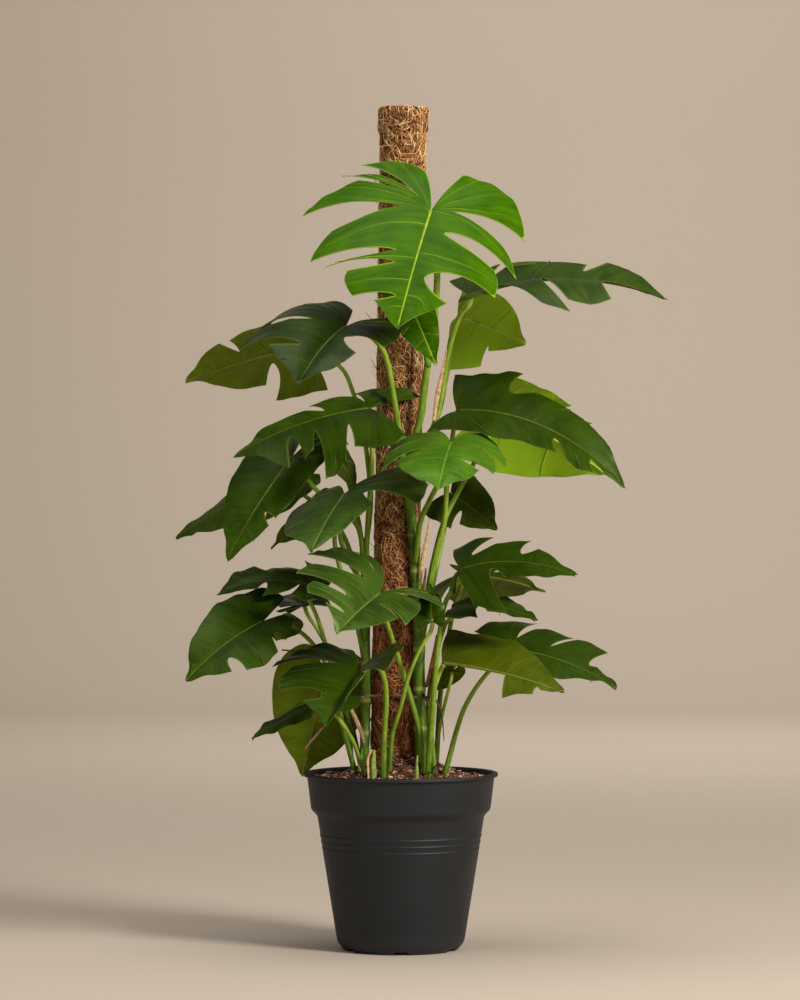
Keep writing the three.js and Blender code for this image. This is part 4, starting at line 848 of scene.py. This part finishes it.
def lobePoint(leaf, side, lobe, even, share, inner):
    # a place in a lobe. even runs across it, share from the cuts' inner ends to the margin;
    # with inner set, share runs from the midrib to the cuts' inner ends.
    across = crowded(lobe, even)
    if inner:
        angle, reach = lobe.start + (lobe.end - lobe.start) * across, leaf.depth * share
        return *flatPoint(leaf, side, angle, reach), angle, reach, 0 * share
    part = (1 - (1 - share) ** 2.2) ** 0.72 / 2          # the cuts are round at their inner ends
    start, end = lobe.start - lobe.startGap * part, lobe.end + lobe.endGap * part
    reach = leaf.depth + (1 - leaf.depth) * share
    near = np.clip((share - blade["shapeStart"]) / (1 - blade["shapeStart"]), 0, 1) ** 2
    if lobe.cutAtStart:
        reach = reach - near * blade["cornerTrim"] * (1 - even) ** 2.4
    if lobe.cutAtEnd:
        reach = reach + near * blade["hookLength"] * even ** 4
    longer = (lobe.length - 1) * (1 if lobe.cutAtEnd else 1 - across)
    angle = start + (end - start) * across
    x, y = flatPoint(leaf, side, angle, reach * (1 + longer * share * share))
    return x, y, angle, reach, lobe.lift * share * share


def channelDepth(y):
    return -blade["channel"] * np.clip(1 - y, blade["channelEnd"], 1)


def bladeRelief(leaf, side, lobe, x, y, phase, reach):
    # quilting between the veins, a channel along the midrib and waves at the margin
    relief = blade["quilting"] * np.abs(np.sin(math.pi * phase)) ** 0.8 * np.minimum(1, reach * 3)
    relief = relief + channelDepth(y) * np.exp(-((x * leaf.size / blade["channelWidth"]) ** 2))
    seed = leaf.seed + side * 2.1
    for height, own, byVein, byLobe, fade in blade["waves"]:
        wave = height * np.sin(seed * own + phase * byVein + lobe.number * byLobe) * reach ** fade
        relief = relief + wave * min(1, leaf.size / blade["waveLeafSize"])
    return relief / leaf.size


class Sheet:
    # the middle surface of a blade
    def __init__(self):
        self.points, self.faces, self.values = [], [], []

    def add(self, point, values):
        self.points.append(point)
        self.values.append(values)
        return len(self.points) - 1

    def face(self, side, corners):
        kept = list(dict.fromkeys(corners))
        if len(kept) > 2:
            self.faces.append(kept if side == 0 else kept[::-1])

    def fillToRib(self, side, rib, innerEnds):
        # triangles between the midrib and the first row of each lobe
        step = blade["tipRoot"] / blade["ribSteps"]
        i = j = 0
        while i < len(rib) - 1 or j < len(innerEnds) - 1:
            innerDone = j == len(innerEnds) - 1
            if i < len(rib) - 1 and (innerDone or (i + 0.5) * step < innerEnds[j + 1][1]):
                self.face(side, (rib[i], innerEnds[j][0], rib[i + 1]))
                i += 1
            else:
                self.face(side, (rib[i], innerEnds[j][0], innerEnds[j + 1][0]))
                j += 1


def bladeSheet(leaf):
    sheet = Sheet()
    ribPlaces = np.linspace(0, blade["tipRoot"], blade["ribSteps"] + 1)
    ribPoints = bentPoint(leaf, 0, ribPlaces * 0, ribPlaces, channelDepth(ribPlaces) / leaf.size)
    rib = [sheet.add(point, (0, 0, 0, 0)) for point in ribPoints]
    rows = [(share, True) for share in blade["innerRows"]] + [(share, False) for share in blade["outerRows"]]
    tipColumn = {}
    for side in (0, 1):
        innerEnds, lastColumn, phaseStart = [], None, side * blade["sidePhase"]
        for lobe in lobesOf(leaf, side):
            even = np.linspace(0, 1, lobe.columns + 1)
            grid = []
            for number, (share, inner) in enumerate(rows):
                x, y, angle, reach, lift = lobePoint(leaf, side, lobe, even, share + 0 * even, inner)
                # near the cuts' inner ends the veins keep their angle, to leave the midrib in one sweep
                kept = (lobe.start - angle) / (lobe.start - lobe.end)
                if not lobe.cutAtEnd:
                    kept = 1 - (1 - kept) ** (1 / blade["columnCrowding"])
                free = 0 if inner else min(1, share / blade["veinFree"]) ** 2
                phase = (kept + (even - kept) * free) * lobe.phases - 0.5 + phaseStart
                relief = bladeRelief(leaf, side, lobe, x, y, phase, reach)
                places = bentPoint(leaf, side, x, y, lift + relief)
                spacing = leaf.size * np.hypot(np.gradient(x), np.gradient(y)) / np.gradient(phase)
                row = []
                for j, place in enumerate(places):
                    if j == 0 and (inner or share == 0) and lastColumn:
                        row.append(lastColumn[number])
                    elif j == len(even) - 1 and not lobe.cutAtEnd and number in tipColumn:
                        row.append(tipColumn[number])
                    else:
                        apart = spacing[j] * blade["columnSpacing"]
                        row.append(sheet.add(place, (phase[j], apart, x[j] * leaf.size, reach[j])))
                grid.append(row)
                if not lobe.cutAtEnd:
                    tipColumn[number] = row[-1]
            phaseStart += lobe.veins
            lastColumn = [row[-1] for row in grid]
            for low, high in zip(grid, grid[1:]):
                for corners in zip(low, high, high[1:], low[1:]):
                    sheet.face(side, corners)
            roots = veinRoot(lobe.start + (lobe.end - lobe.start) * crowded(lobe, even))
            innerEnds += list(zip(grid[0], roots))
        sheet.fillToRib(side, rib, innerEnds)
    return sheet


def pointNormals(points, faces):
    normals = np.zeros_like(points)
    for count in {len(face) for face in faces}:
        group = np.array([face for face in faces if len(face) == count])
        a, b, c = points[group[:, 0]], points[group[:, 1]], points[group[:, 2]]
        faceNormals = np.cross(b - a, c - a)
        if count == 4:
            faceNormals = faceNormals + np.cross(c - a, points[group[:, 3]] - a)
        for corner in range(count):
            np.add.at(normals, group[:, corner], faceNormals)
    return normals / np.maximum(np.linalg.norm(normals, axis=1), 1e-9)[:, None]


def addVein(heap, line, radii, sides):
    heap.add(*tube(line, radii, sides), kind=3, veinPhase=0, veinSpacing=5, ribDistance=0, reach=0, edge=0)


def veinTubes(heap, leaf):
    # the midrib and the main side veins, which stand out under the blade
    along = np.linspace(0, blade["ribEnd"], blade["ribRows"])
    sink = (channelDepth(along) - blade["ribSink"]) / leaf.size
    scale = (leaf.size / blade["veinLeafSize"]) ** 0.5
    radii = blade["ribRadius"] * scale * (1 - blade["ribTaper"] * along) + blade["ribLeast"]
    radii[0] *= blade["ribFoot"]
    addVein(heap, leaf.placed(bentPoint(leaf, 0, along * 0, along, sink)), radii, blade["ribSides"])
    few, many = blade["veinRows"]
    places = ((np.linspace(0, 1, few)[:-1], True), (np.linspace(0, blade["veinEnd"], many), False))
    for side in (0, 1):
        for lobe in lobesOf(leaf, side):
            for k in range(lobe.veins):
                parts = []
                for shares, inner in places:
                    even = np.full(len(shares), (k + 0.5) / lobe.phases)
                    x, y, _, reach, lift = lobePoint(leaf, side, lobe, even, shares, inner)
                    parts.append((x, y, reach, lift + bladeRelief(leaf, side, lobe, x, y, 0 * x, reach)))
                x, y, reach, lift = (np.concatenate(values) for values in zip(*parts))
                line = leaf.placed(bentPoint(leaf, side, x, y, lift - blade["veinSink"] / leaf.size))
                if np.linalg.norm(line[-1] - line[0]) > blade["veinShortest"]:
                    width = blade["veinRadius"] * scale * (1 - blade["veinTaper"] * reach)
                    addVein(heap, line, width + blade["veinLeast"], blade["veinSides"])


def makeBlade(name, leaf, look):
    leaf.seed = sum(ord(letter) for letter in "leaf_" + name) % 17
    sheet = bladeSheet(leaf)
    middle = leaf.placed(sheet.points)
    half = pointNormals(middle, sheet.faces) * (blade["thickness"] / 2)
    count, size = len(middle), len(sheet.faces)
    sides = [pair for face in sheet.faces for pair in zip(face, face[1:] + face[:1])]
    shared = set(sides)
    edges = [pair for pair in sides if pair[::-1] not in shared]
    faces = [*sheet.faces, *([count + corner for corner in face[::-1]] for face in sheet.faces),
             *((a, a + count, b + count, b) for a, b in edges)]
    kinds = np.repeat((0, 1, 2), (size, size, len(edges)))
    kept = np.tile(np.array(sheet.values, float).T, 2)
    values = dict(zip(("veinPhase", "veinSpacing", "ribDistance", "reach"), kept))
    values["edge"] = np.zeros(2 * count)
    values["edge"][[corner for pair in edges for corner in pair]] = 1
    heap = Heap()
    heap.add(np.concatenate((middle + half, middle - half)), faces, kinds, **values)
    veinTubes(heap, leaf)
    crisp = {tuple(sorted((a + shift, b + shift))) for a, b in edges for shift in (0, count)}
    node = "leaf_" + name
    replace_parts(heap.piece(pieceName(node), lookFinishes[leaf.look], "leaf_" + look.slot, crisp), node)


# upper, streak, vein and under are screen colours; streak is the lighter tone of the painted quilting light.
# veinShow and ribShow: how pale the veins look.
Look = namedtuple("Look", "slot upper streak vein under rough veinShow ribShow sheen")
looks = {
    "fresh": Look("fresh", (44, 80, 0), (68, 110, 2), (158, 184, 40), (84, 112, 10), 0.33, 0.42, 1.0, 0.06),
    "bright": Look("dusky", (52, 90, 6), (80, 122, 14), (118, 150, 50), (84, 108, 24), 0.33, 0.35, 0.8, 0.3),
    "deep": Look("deep", (34, 52, 3), (52, 74, 6), (92, 112, 26), (84, 100, 12), 0.34, 0.15, 0.45, 0.13),
    "dark": Look("deep", (22, 36, 3), (38, 56, 5), (84, 100, 26), (78, 94, 14), 0.32, 0.15, 0.45, 0.16),
    "dusky": Look("dusky", (46, 70, 16), (72, 100, 28), (128, 152, 64), (84, 100, 22), 0.35, 0.25, 0.8, 0.32),
    "olive": Look("deep", (66, 78, 6), (88, 98, 12), (134, 142, 50), (104, 124, 14), 0.42, 0.3, 0.8, 0.16),
    "shaded": Look("deep", (46, 60, 5), (64, 80, 10), (104, 118, 30), (84, 96, 12), 0.42, 0.2, 0.5, 0.14),
    # glowing: a lighter, yellower copy of the leaf colours, painted light shining through the blade from
    # behind
    "glowing": Look("deep", (128, 168, 22), (146, 186, 34), (184, 206, 84), (142, 182, 30),
                    0.45, 0.4, 1.0, 0.14),
}
leafTint = (0.8, 1.0, 0.45)
lookFinishes = {}


def veinMask(paint, narrow, wide, veinShow, ribShow):
    # veinShow on the side veins and ribShow on the midrib, fading from narrow to wide millimetres beside them
    spacing = paint.stored("veinSpacing")
    inside = paint.maths("FRACT", paint.maths("ADD", paint.stored("veinPhase"), 0.5))
    offset = paint.maths("ABSOLUTE", paint.maths("SUBTRACT", inside, 0.5))
    line = paint.span(paint.maths("MULTIPLY", offset, spacing), wide, narrow)
    parted = paint.maths("MULTIPLY", line, paint.span(spacing, 3.0, 12.0))       # none where they crowd
    fade = paint.span(paint.stored("reach"), 0.1, 1.0, veinShow, veinShow * 0.25)
    rib = paint.span(paint.stored("ribDistance"), wide * 1.7, narrow * 2.0, 0.0, ribShow)
    return paint.maths("MAXIMUM", paint.maths("MULTIPLY", parted, fade), rib)


def quiltShadeStripes(paint):
    # soft stripes that run out along the side veins: painted light and shade of the quilting between them
    across = paint.maths("MULTIPLY", paint.stored("veinPhase"), 4.5)
    return paint.noise(1.6, 3, 0.55, paint.across(across, paint.stored("reach")))


def upperFinish(name, look):
    paint = Finish(name + "LeafUpper")
    clouds = paint.noise(22)
    # painted quilting light and shade, mixed with random clouds of tone
    amount = paint.span(paint.maths("ADD", quiltShadeStripes(paint), clouds), 0.75, 1.3)
    body = paint.mix(amount, tone(*look.upper), tone(*look.streak))
    mask = veinMask(paint, 0.25, 0.95, look.veinShow, look.ribShow)
    margin = paint.span(paint.stored("edge"), 0.7, 1.0, 0.0, 0.7)
    pale = paint.maths("MAXIMUM", paint.maths("MULTIPLY", mask, 0.8), margin)
    skin = paint.maths("ADD", paint.noise(850, 2), paint.maths("MULTIPLY", mask, -0.8))
    rough = paint.span(clouds, 0.3, 0.7, look.rough - 0.05, look.rough + 0.09)
    colour = paint.mix(pale, body, tone(*look.vein))
    return paint.done(colour, rough, look.sheen, leafTint, relief=skin, strength=0.25, depth=0.0007)


def underFinish(name, look):
    paint = Finish(name + "LeafUnder")
    # painted quilting light and shade, mixed with random clouds of tone
    amount = paint.span(paint.maths("ADD", quiltShadeStripes(paint), paint.noise(26)), 0.7, 1.35, 0.0, 0.7)
    body = paint.mix(amount, tone(*look.under), tone(*look.upper))
    pale = paint.maths("MULTIPLY", veinMask(paint, 0.3, 1.6, 0.0, 1.0), 0.55)
    net = paint.cells(260, "DISTANCE_TO_EDGE")
    colour = paint.mix(pale, body, tone(*look.vein))
    return paint.done(colour, 0.55, 0.25, leafTint, relief=net, strength=0.2, depth=0.0006)


def plainGreen(name, colour, scale):
    # veins and margins: one colour with a soft mottle
    stops = ((0.3, *(0.72 * value for value in colour)), (0.7, *colour))
    return mottled(name, (scale, 3, 0.5), stops, 0.45, strength=0.1, depth=0.0004, gloss=0.3, tint=leafTint)


def makeLeaves():
    for name, look in looks.items():
        lookFinishes[name] = [upperFinish(name, look), underFinish(name, look),
                              plainGreen(name + "LeafMargin", look.vein, 60),
                              plainGreen(name + "LeafVein", look.vein, 120)]
    for name, leaf in leaves.items():
        makeBlade(name, leaf, looks[leaf.look])


makeLeaves()
print("leaves ready:", len(leaves))


# Climbing stems, leaf stalks and aerial roots.

stalk = {
    "sides": 14, "step": 5.0, "footHeights": (-45, 8, 20), "tipLength": 12, "tipInside": 2.2, "tipUp": 0.8,
    "tipAhead": 0.6, "underBlade": 2.1, "kneeLength": 20, "kneeWidth": 9, "kneeSwell": 0.16,
    "baseSwell": 0.3, "baseLength": 16, "paleLength": 22, "paleAlong": 0.75, "paleKnee": 0.45,
    "soilDarker": 0.1,
}
stem = {"sides": 28, "step": 2.5, "ringProud": 0.7, "ringWidth": 2.4, "swellWidth": 11, "swell": 0.09,
        "paleWidth": 3.2, "pale": 0.8, "scarDrop": 4.2, "scarWidth": 1.2, "scar": 0.7,
        "rootSides": 10, "rootStep": 3, "rootKnobs": 0.12, "knobLengths": (5.3, 11.7)}

# stalks: two radii, then the points from the stem up to the blade. roots: the same, outwards.
climbingStems = {
    "stem_left": {
        "base": (-51, -12), "radius": (7, 5.5), "nodeHeights": (303, 348, 400, 455, 510),
        "path": ((-49, -12, 346), (-49, -12, 432), (-50, -12, 502), (-51, -12, 565)),
        "stalks": {
            "far_left_high": ((4, 2.6), (-51, -12, 545), (-42, -8, 628), (-45, 2, 670), (-53, 14, 726),
                (-66, 20, 776), (-86, 26, 816)),
            "left_upper": ((4, 3), (-49, -14, 534), (-45, -30, 611), (-40, -44, 677), (-41, -60, 725)),
            "left_hanging": ((4, 3), (-51, -14, 530), (-61, -24, 593), (-95, -36, 621), (-124, -54, 650)),
            "centre_left": ((4, 3), (-49, -14, 433), (-58, -30, 517), (-73, -48, 545), (-84, -84, 584)),
            "under_left": ((4, 3), (-50, -13, 406), (-68, -14, 482), (-82, -12, 523), (-92, -8, 565)),
            "left_inner": ((3.6, 2.6), (-51, -12, 521), (-57, 8, 586), (-70, 34, 640), (-88, 40, 685)),
            "far_left_low": ((4, 2.8), (-50, -10, 454), (-68, 34, 544), (-90, 64, 592), (-139, 50, 636)),
        },
        "roots": [
            ((2, 1), (-49, -12, 399), (-85, -20, 409), (-109, -20, 413), (-166, -22, 419)),
        ],
    },
    "stem_right": {
        "base": (28, -26), "radius": (8.6, 6.4), "nodeHeights": (310, 365, 420, 475, 530, 580, 630),
        "path": ((26, -28, 363), (25, -30, 447), (20, -33, 545), (13, -38, 628), (14, -40, 677)),
        "stalks": {
            "top": ((5.6, 4.2), (14, -40, 650), (20, -42, 711), (28, -44, 746), (36, -48, 808),
                (46, -56, 871), (50, -80, 960)),
            "upper_back": ((4.4, 3), (14, -39, 650), (34, -32, 704), (52, -14, 747), (69, 22, 831),
                (74, 42, 878)),
            "upper_right": ((4.6, 3.4), (14, -41, 650), (34, -38, 704), (50, -28, 742), (67, -20, 836),
                (84, -27, 887)),
            "right_high": ((4.6, 3.2), (27, -30, 420), (42, -40, 520), (50, -42, 559), (60, -42, 595),
                (64, -42, 649), (71, -50, 711)),
            "right_back": ((4.4, 3), (27, -31, 440), (46, -37, 545), (61, -34, 600), (86, -8, 650),
                (111, 16, 694), (123, 26, 715)),
            "middle_front": ((4.2, 3), (20, -36, 540), (27, -56, 597), (40, -84, 628), (54, -120, 656),
                (62, -142, 680)),
            "left_high": ((5, 3.4), (12, -38, 615), (6, -50, 670), (0, -58, 704), (-9, -72, 766),
                (-25, -92, 835), (-49, -110, 856)),
            "young_front": ((3, 2.4), (38, -50, 812), (28, -58, 854), (16, -66, 886)),
            "middle_right_inner": ((4, 3), (27, -30, 420), (43, -24, 503), (55, -8, 558), (63, 12, 600)),
        },
        "roots": [
            ((2.2, 1.4), (28, -28, 351), (16, -37, 354), (-1, -38, 356), (-23, -38, 356), (-46, -36, 355),
             (-68, -40, 350), (-86, -52, 343), (-100, -68, 324), (-133, -95, 285)),
        ],
    },
}

# base, two radii, then the points from the soil up to the blade
soilStalks = {
    "centre_low": ((32, -56), (4.4, 3), (27, -58, 303), (6, -62, 379), (-7, -66, 421), (-18, -72, 455)),
    "centre_small": ((-16, -62), (3.6, 2.6), (-12, -66, 302), (-1, -74, 340), (11, -78, 385),
        (25, -84, 420)),
    "low_front": ((-24, -78), (4.4, 3.2), (-23, -80, 297), (-20, -84, 353), (-22, -88, 380),
        (-31, -96, 398), (-45, -104, 399)),
    "right_low_twisted": ((37, -72), (4.4, 3.2), (43, -72, 324), (51, -70, 421), (62, -68, 487)),
    "right_low_back": ((50, 12), (4, 3), (55, 13, 349), (64, 14, 419), (76, 10, 481)),
    "right_low_thin": ((34, -4), (3.6, 2.6), (39, -4, 350), (54, -2, 427), (64, -24, 458)),
    "low_right_big": ((46, -60), (4, 3), (42, -58, 347)),
    "low_right_far": ((60, -50), (4.2, 2.8), (89, -48, 341), (122, -50, 390)),
    "low_right_small": ((46, -18), (3, 2.2), (56, -26, 321)),
    "lower_left": ((-64, -23), (4, 2.8), (-78, -18, 301), (-108, -24, 406), (-150, -50, 451)),
    "left_split": ((-56, 12), (4, 2.8), (-71, 6, 319), (-91, -6, 376), (-116, -18, 462)),
    "lower_left_back": ((-44, 32), (3.6, 2.6), (-57, 26, 318), (-86, 8, 389), (-116, 6, 445)),
    "low_left_drooping": ((-50, -50), (3.6, 2.6), (-68, -62, 298)),
    "low_left_back": ((-67, -2), (3.6, 2.6), (-74, 6, 305), (-94, 16, 337)),
}


def footPoints(base, first):
    # the straight foot of a stem, from deep in the soil to just above it
    ground = np.array((*base, soilHeight(*base)))
    direction = unit(first - ground)
    return [ground + direction * height for height in stalk["footHeights"]]


def bladeEnd(leaf, radius):
    # the last points of a stalk, close under the joint of its blade
    below = stalk["underBlade"] + stalk["tipAhead"] * radius
    end = leaf.joint - leaf.upward * below + leaf.tipward * stalk["tipUp"] * radius
    direction = leaf.upward * stalk["tipUp"] + leaf.tipward * stalk["tipAhead"]
    return [end - direction * stalk["tipLength"], end, end + direction * stalk["tipInside"]]


def lengthStreaks(paint, scale, slow):
    along = paint.maths("MULTIPLY", paint.stored("along"), slow)
    return paint.noise(scale, 4, 0.6, paint.across(paint.stored("around"), along))


def freckled(paint, body, scale, edge, share, colour):
    return paint.mix(paint.span(paint.cells(scale), edge, 0.1, 0, share), body, tone(*colour))


def stalkFinish():
    paint = Finish("leafStalk")
    streak = lengthStreaks(paint, 3.0, 0.02)
    low = paint.ramp(streak, (0.3, 62, 92, 12), (0.7, 98, 130, 24))
    high = paint.ramp(streak, (0.3, 134, 164, 36), (0.7, 192, 212, 84))
    body = paint.mix(paint.span(paint.stored("rise"), 0.0, 1.0), low, high)
    colour = freckled(paint, body, 330, 0.22, 0.45, (176, 192, 92))
    return paint.done(colour, 0.42, 0.35, leafTint, relief=streak, strength=0.25, depth=0.0006)


def stemFinish():
    paint = Finish("climbingStem")
    streak = lengthStreaks(paint, 2.4, 0.03)
    body = paint.ramp(streak, (0.3, 56, 84, 24), (0.55, 86, 118, 34), (0.8, 126, 152, 58))
    ringed = paint.mix(paint.stored("ring"), body, tone(164, 172, 96))
    scarred = paint.mix(paint.stored("scar"), ringed, tone(98, 74, 44))
    colour = freckled(paint, scarred, 210, 0.2, 0.6, (172, 176, 112))
    return paint.done(colour, 0.45, 0.35, leafTint, relief=streak, strength=0.3, depth=0.0008)


def bell(distance, width):
    return np.exp(-((distance / width) ** 2))


def greenPiece(name, finish, line, radii, sides, around, **values):
    # values: kept for each ring of the tube
    heap = Heap()
    values = {key: np.repeat(value, sides) for key, value in values.items()}
    values["around"] = around + np.tile(np.arange(sides) / sides * 2, len(line))
    heap.add(*tube(line, radii, sides), **values)
    return heap.piece(name, [finish], "stalk_green")


def makeStalk(name, points, radius, finish, darker=0.0):
    line, places = smoothLine([*points, *bladeEnd(leaves[name], radius[1])], stalk["step"])
    share, fromEnd = places / places[-1], places[-1] - places
    radii = radius[0] + (radius[1] - radius[0]) * share
    radii = radii * (1 + stalk["baseSwell"] * bell(places, stalk["baseLength"]))
    radii = radii * (1 + stalk["kneeSwell"] * bell(fromEnd - stalk["kneeLength"] / 2, stalk["kneeWidth"]))
    rise = share * stalk["paleAlong"] + stalk["paleKnee"] * bell(fromEnd, stalk["paleLength"])
    rise = np.clip(rise - darker, 0, 1)
    return greenPiece(pieceName("stalk_" + name), finish, line, radii, stalk["sides"], radius[0],
                      along=places, rise=rise)


def makeStem(node, item, finish):
    points = [*footPoints(item["base"], item["path"][0]), *item["path"]]
    line, places = smoothLine(points, stem["step"])
    radii = item["radius"][0] + (item["radius"][1] - item["radius"][0]) * (places / places[-1])
    ring = scar = np.zeros(len(line))
    for height in item["nodeHeights"]:
        fromNode = line[:, 2] - height
        radii = radii * (1 + stem["swell"] * bell(fromNode, stem["swellWidth"]))
        radii = radii + stem["ringProud"] * bell(fromNode, stem["ringWidth"])
        ring = np.maximum(ring, bell(fromNode, stem["paleWidth"]))
        scar = np.maximum(scar, bell(fromNode + stem["scarDrop"], stem["scarWidth"]))
    piece = greenPiece(pieceName(node), finish, line, radii, stem["sides"], 0,
                       along=places, ring=ring * stem["pale"], scar=scar * stem["scar"])
    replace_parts(piece, node)


def makeStems():
    stemGreen, stalkGreen = stemFinish(), stalkFinish()
    rootTones = ((0.3, 62, 40, 26), (0.7, 140, 100, 70))
    rootBrown = mottled("aerialRoot", (260, 5, 0.7), rootTones, 0.8, strength=0.7, depth=0.0012)
    for node, item in climbingStems.items():
        makeStem(node, item, stemGreen)
        for name, (radius, *path) in item["stalks"].items():
            makeStalk(name, path, radius, stalkGreen)
        for number, (radius, *path) in enumerate(item["roots"], 1):
            line, places = smoothLine(path, stem["rootStep"])
            short, long = stem["knobLengths"]
            knobs = 1.1 + stem["rootKnobs"] * np.sin(places / short) * np.sin(places / long)
            radii = knobs * np.interp(places / places[-1], (0, 1), radius)
            singlePiece(pieceName(node) + "Root" + str(number), *tube(line, radii, stem["rootSides"]),
                        rootBrown, "stalk_green")
    for name, (base, radius, *path) in soilStalks.items():
        piece = makeStalk(name, [*footPoints(base, path[0]), *path], radius, stalkGreen, stalk["soilDarker"])
        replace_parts(piece, "stalk_" + name)


makeStems()
print("stems ready")


# Dry sheaths, young shoots, thin roots and stiff ends of coir.

trifles = {              # lines: three radii, then the points. thin: thickness as a share of the width.
    "drySheaths": {
        "tones": ((168, 122, 80), (234, 196, 150)), "thin": 0.22, "lines": (
            ((2.2, 3.2, 1.2), (27, -43, 518), (31, -46, 548), (37, -48, 580), (40, -50, 602)),
            ((2.0, 3.2, 1.6), (-51, -18, 288), (-55, -24, 304), (-66, -32, 330), (-78, -38, 355)),
            ((1.4, 1.8, 1.2), (-40, -78, 284), (-45, -80, 272), (-45, -83, 256), (-44, -86, 240)),
            ((2.2, 3.4, 0.8), (46, -33, 738), (50, -33, 768), (57, -31, 802), (64, -27, 838)))},
    "brownSheaths": {
        "tones": ((66, 38, 24), (142, 94, 62)), "thin": 0.25, "lines": (
            ((2.4, 3.6, 1.2), (35, -38, 368), (42, -43, 392), (47, -46, 420), (50, -48, 441)),
            ((2.4, 3.2, 1.0), (22, -42, 470), (28, -46, 494), (33, -48, 516), (35, -50, 534)))},
    "youngShoots": {
        "tones": ((108, 134, 36), (168, 184, 92)), "sides": 14, "thin": 0.9, "lines": (
            ((3.6, 4.9, 2.2), (-37, -74, 236), (-38, -75, 254), (-38, -76, 268), (-37, -77, 283)),
            ((2.6, 3.0, 1.0), (21, -84, 234), (22, -85, 250), (22, -86, 264), (23, -87, 276)),
            ((2.6, 3.6, 0.8), (-58, -30, 240), (-57, -31, 256), (-55, -32, 270), (-54, -32, 282)))},
    "thinRoots": {
        "tones": ((46, 28, 18), (104, 68, 46)), "thin": 0.9, "lines": (
            ((1.8, 1.5, 0.5), (33, -34, 354), (47, -46, 352), (56, -52, 332), (60, -56, 294)),
            ((1.6, 1.8, 0.5), (32, -36, 358), (37, -44, 346), (41, -48, 326), (42, -50, 310)),
            ((1.2, 1.1, 0.9), (40, -60, 236), (46, -64, 258), (55, -70, 262), (64, -78, 238)),
            ((1.0, 0.9, 0.8), (30, -70, 236), (38, -76, 252), (47, -84, 250), (54, -92, 236)),
            ((1.0, 1.0, 0.7), (-66, -40, 236), (-74, -52, 252), (-82, -64, 248), (-86, -74, 234)),
            ((1.3, 1.1, 0.5), (-44, -14, 324), (-36, -24, 312), (-30, -32, 292), (-28, -36, 268)))},
    "coirSpikes": {
        "tones": ((34, 20, 12), (70, 44, 28)), "sides": 6, "thin": 0.8, "slot": "coir",
        "lines": tuple(((0.9, 0.7, 0.2), *spike) for spike in (
            ((-22, -18, 868), (-36, -22, 876), (-50, -26, 890)),
            ((-24, -14, 806), (-34, -16, 812), (-42, -18, 826)),
            ((-24, -10, 704), (-34, -12, 708), (-43, -13, 718)),
            ((32, -6, 996), (38, -8, 999), (45, -9, 1006)),
            ((-26, -8, 560), (-36, -12, 562), (-45, -13, 570)),
            ((-22, -8, 1066), (-32, -8, 1070), (-39, -8, 1079)),
            ((28, -12, 640), (36, -14, 646), (42, -16, 656)),
            ((-30, -6, 448), (-38, -10, 452), (-46, -13, 460)),
            ((20, 22, 900), (30, 30, 904), (38, 36, 912)),
            ((-10, 28, 780), (-14, 38, 786), (-18, 46, 796))))},
}


def makeTrifles():
    for name, kind in trifles.items():
        stops = [(place, *shade) for place, shade in zip((0.32, 0.68), kind["tones"])]
        finish = mottled(name + "Finish", (190, 4, 0.6), stops, 0.7, strength=0.5, depth=0.0008, gloss=0.25)
        heap = Heap()
        for radii, *path in kind["lines"]:
            line, places = smoothLine(path, 2)
            thickness = kind["thin"] * np.interp(places / places[-1], (0, 0.4, 1), radii)
            heap.add(*tube(line, thickness, kind.get("sides", 8), 1 / kind["thin"]))
        heap.piece(name, [finish], kind.get("slot", "stalk_green"))


makeTrifles()
print("trifles ready")
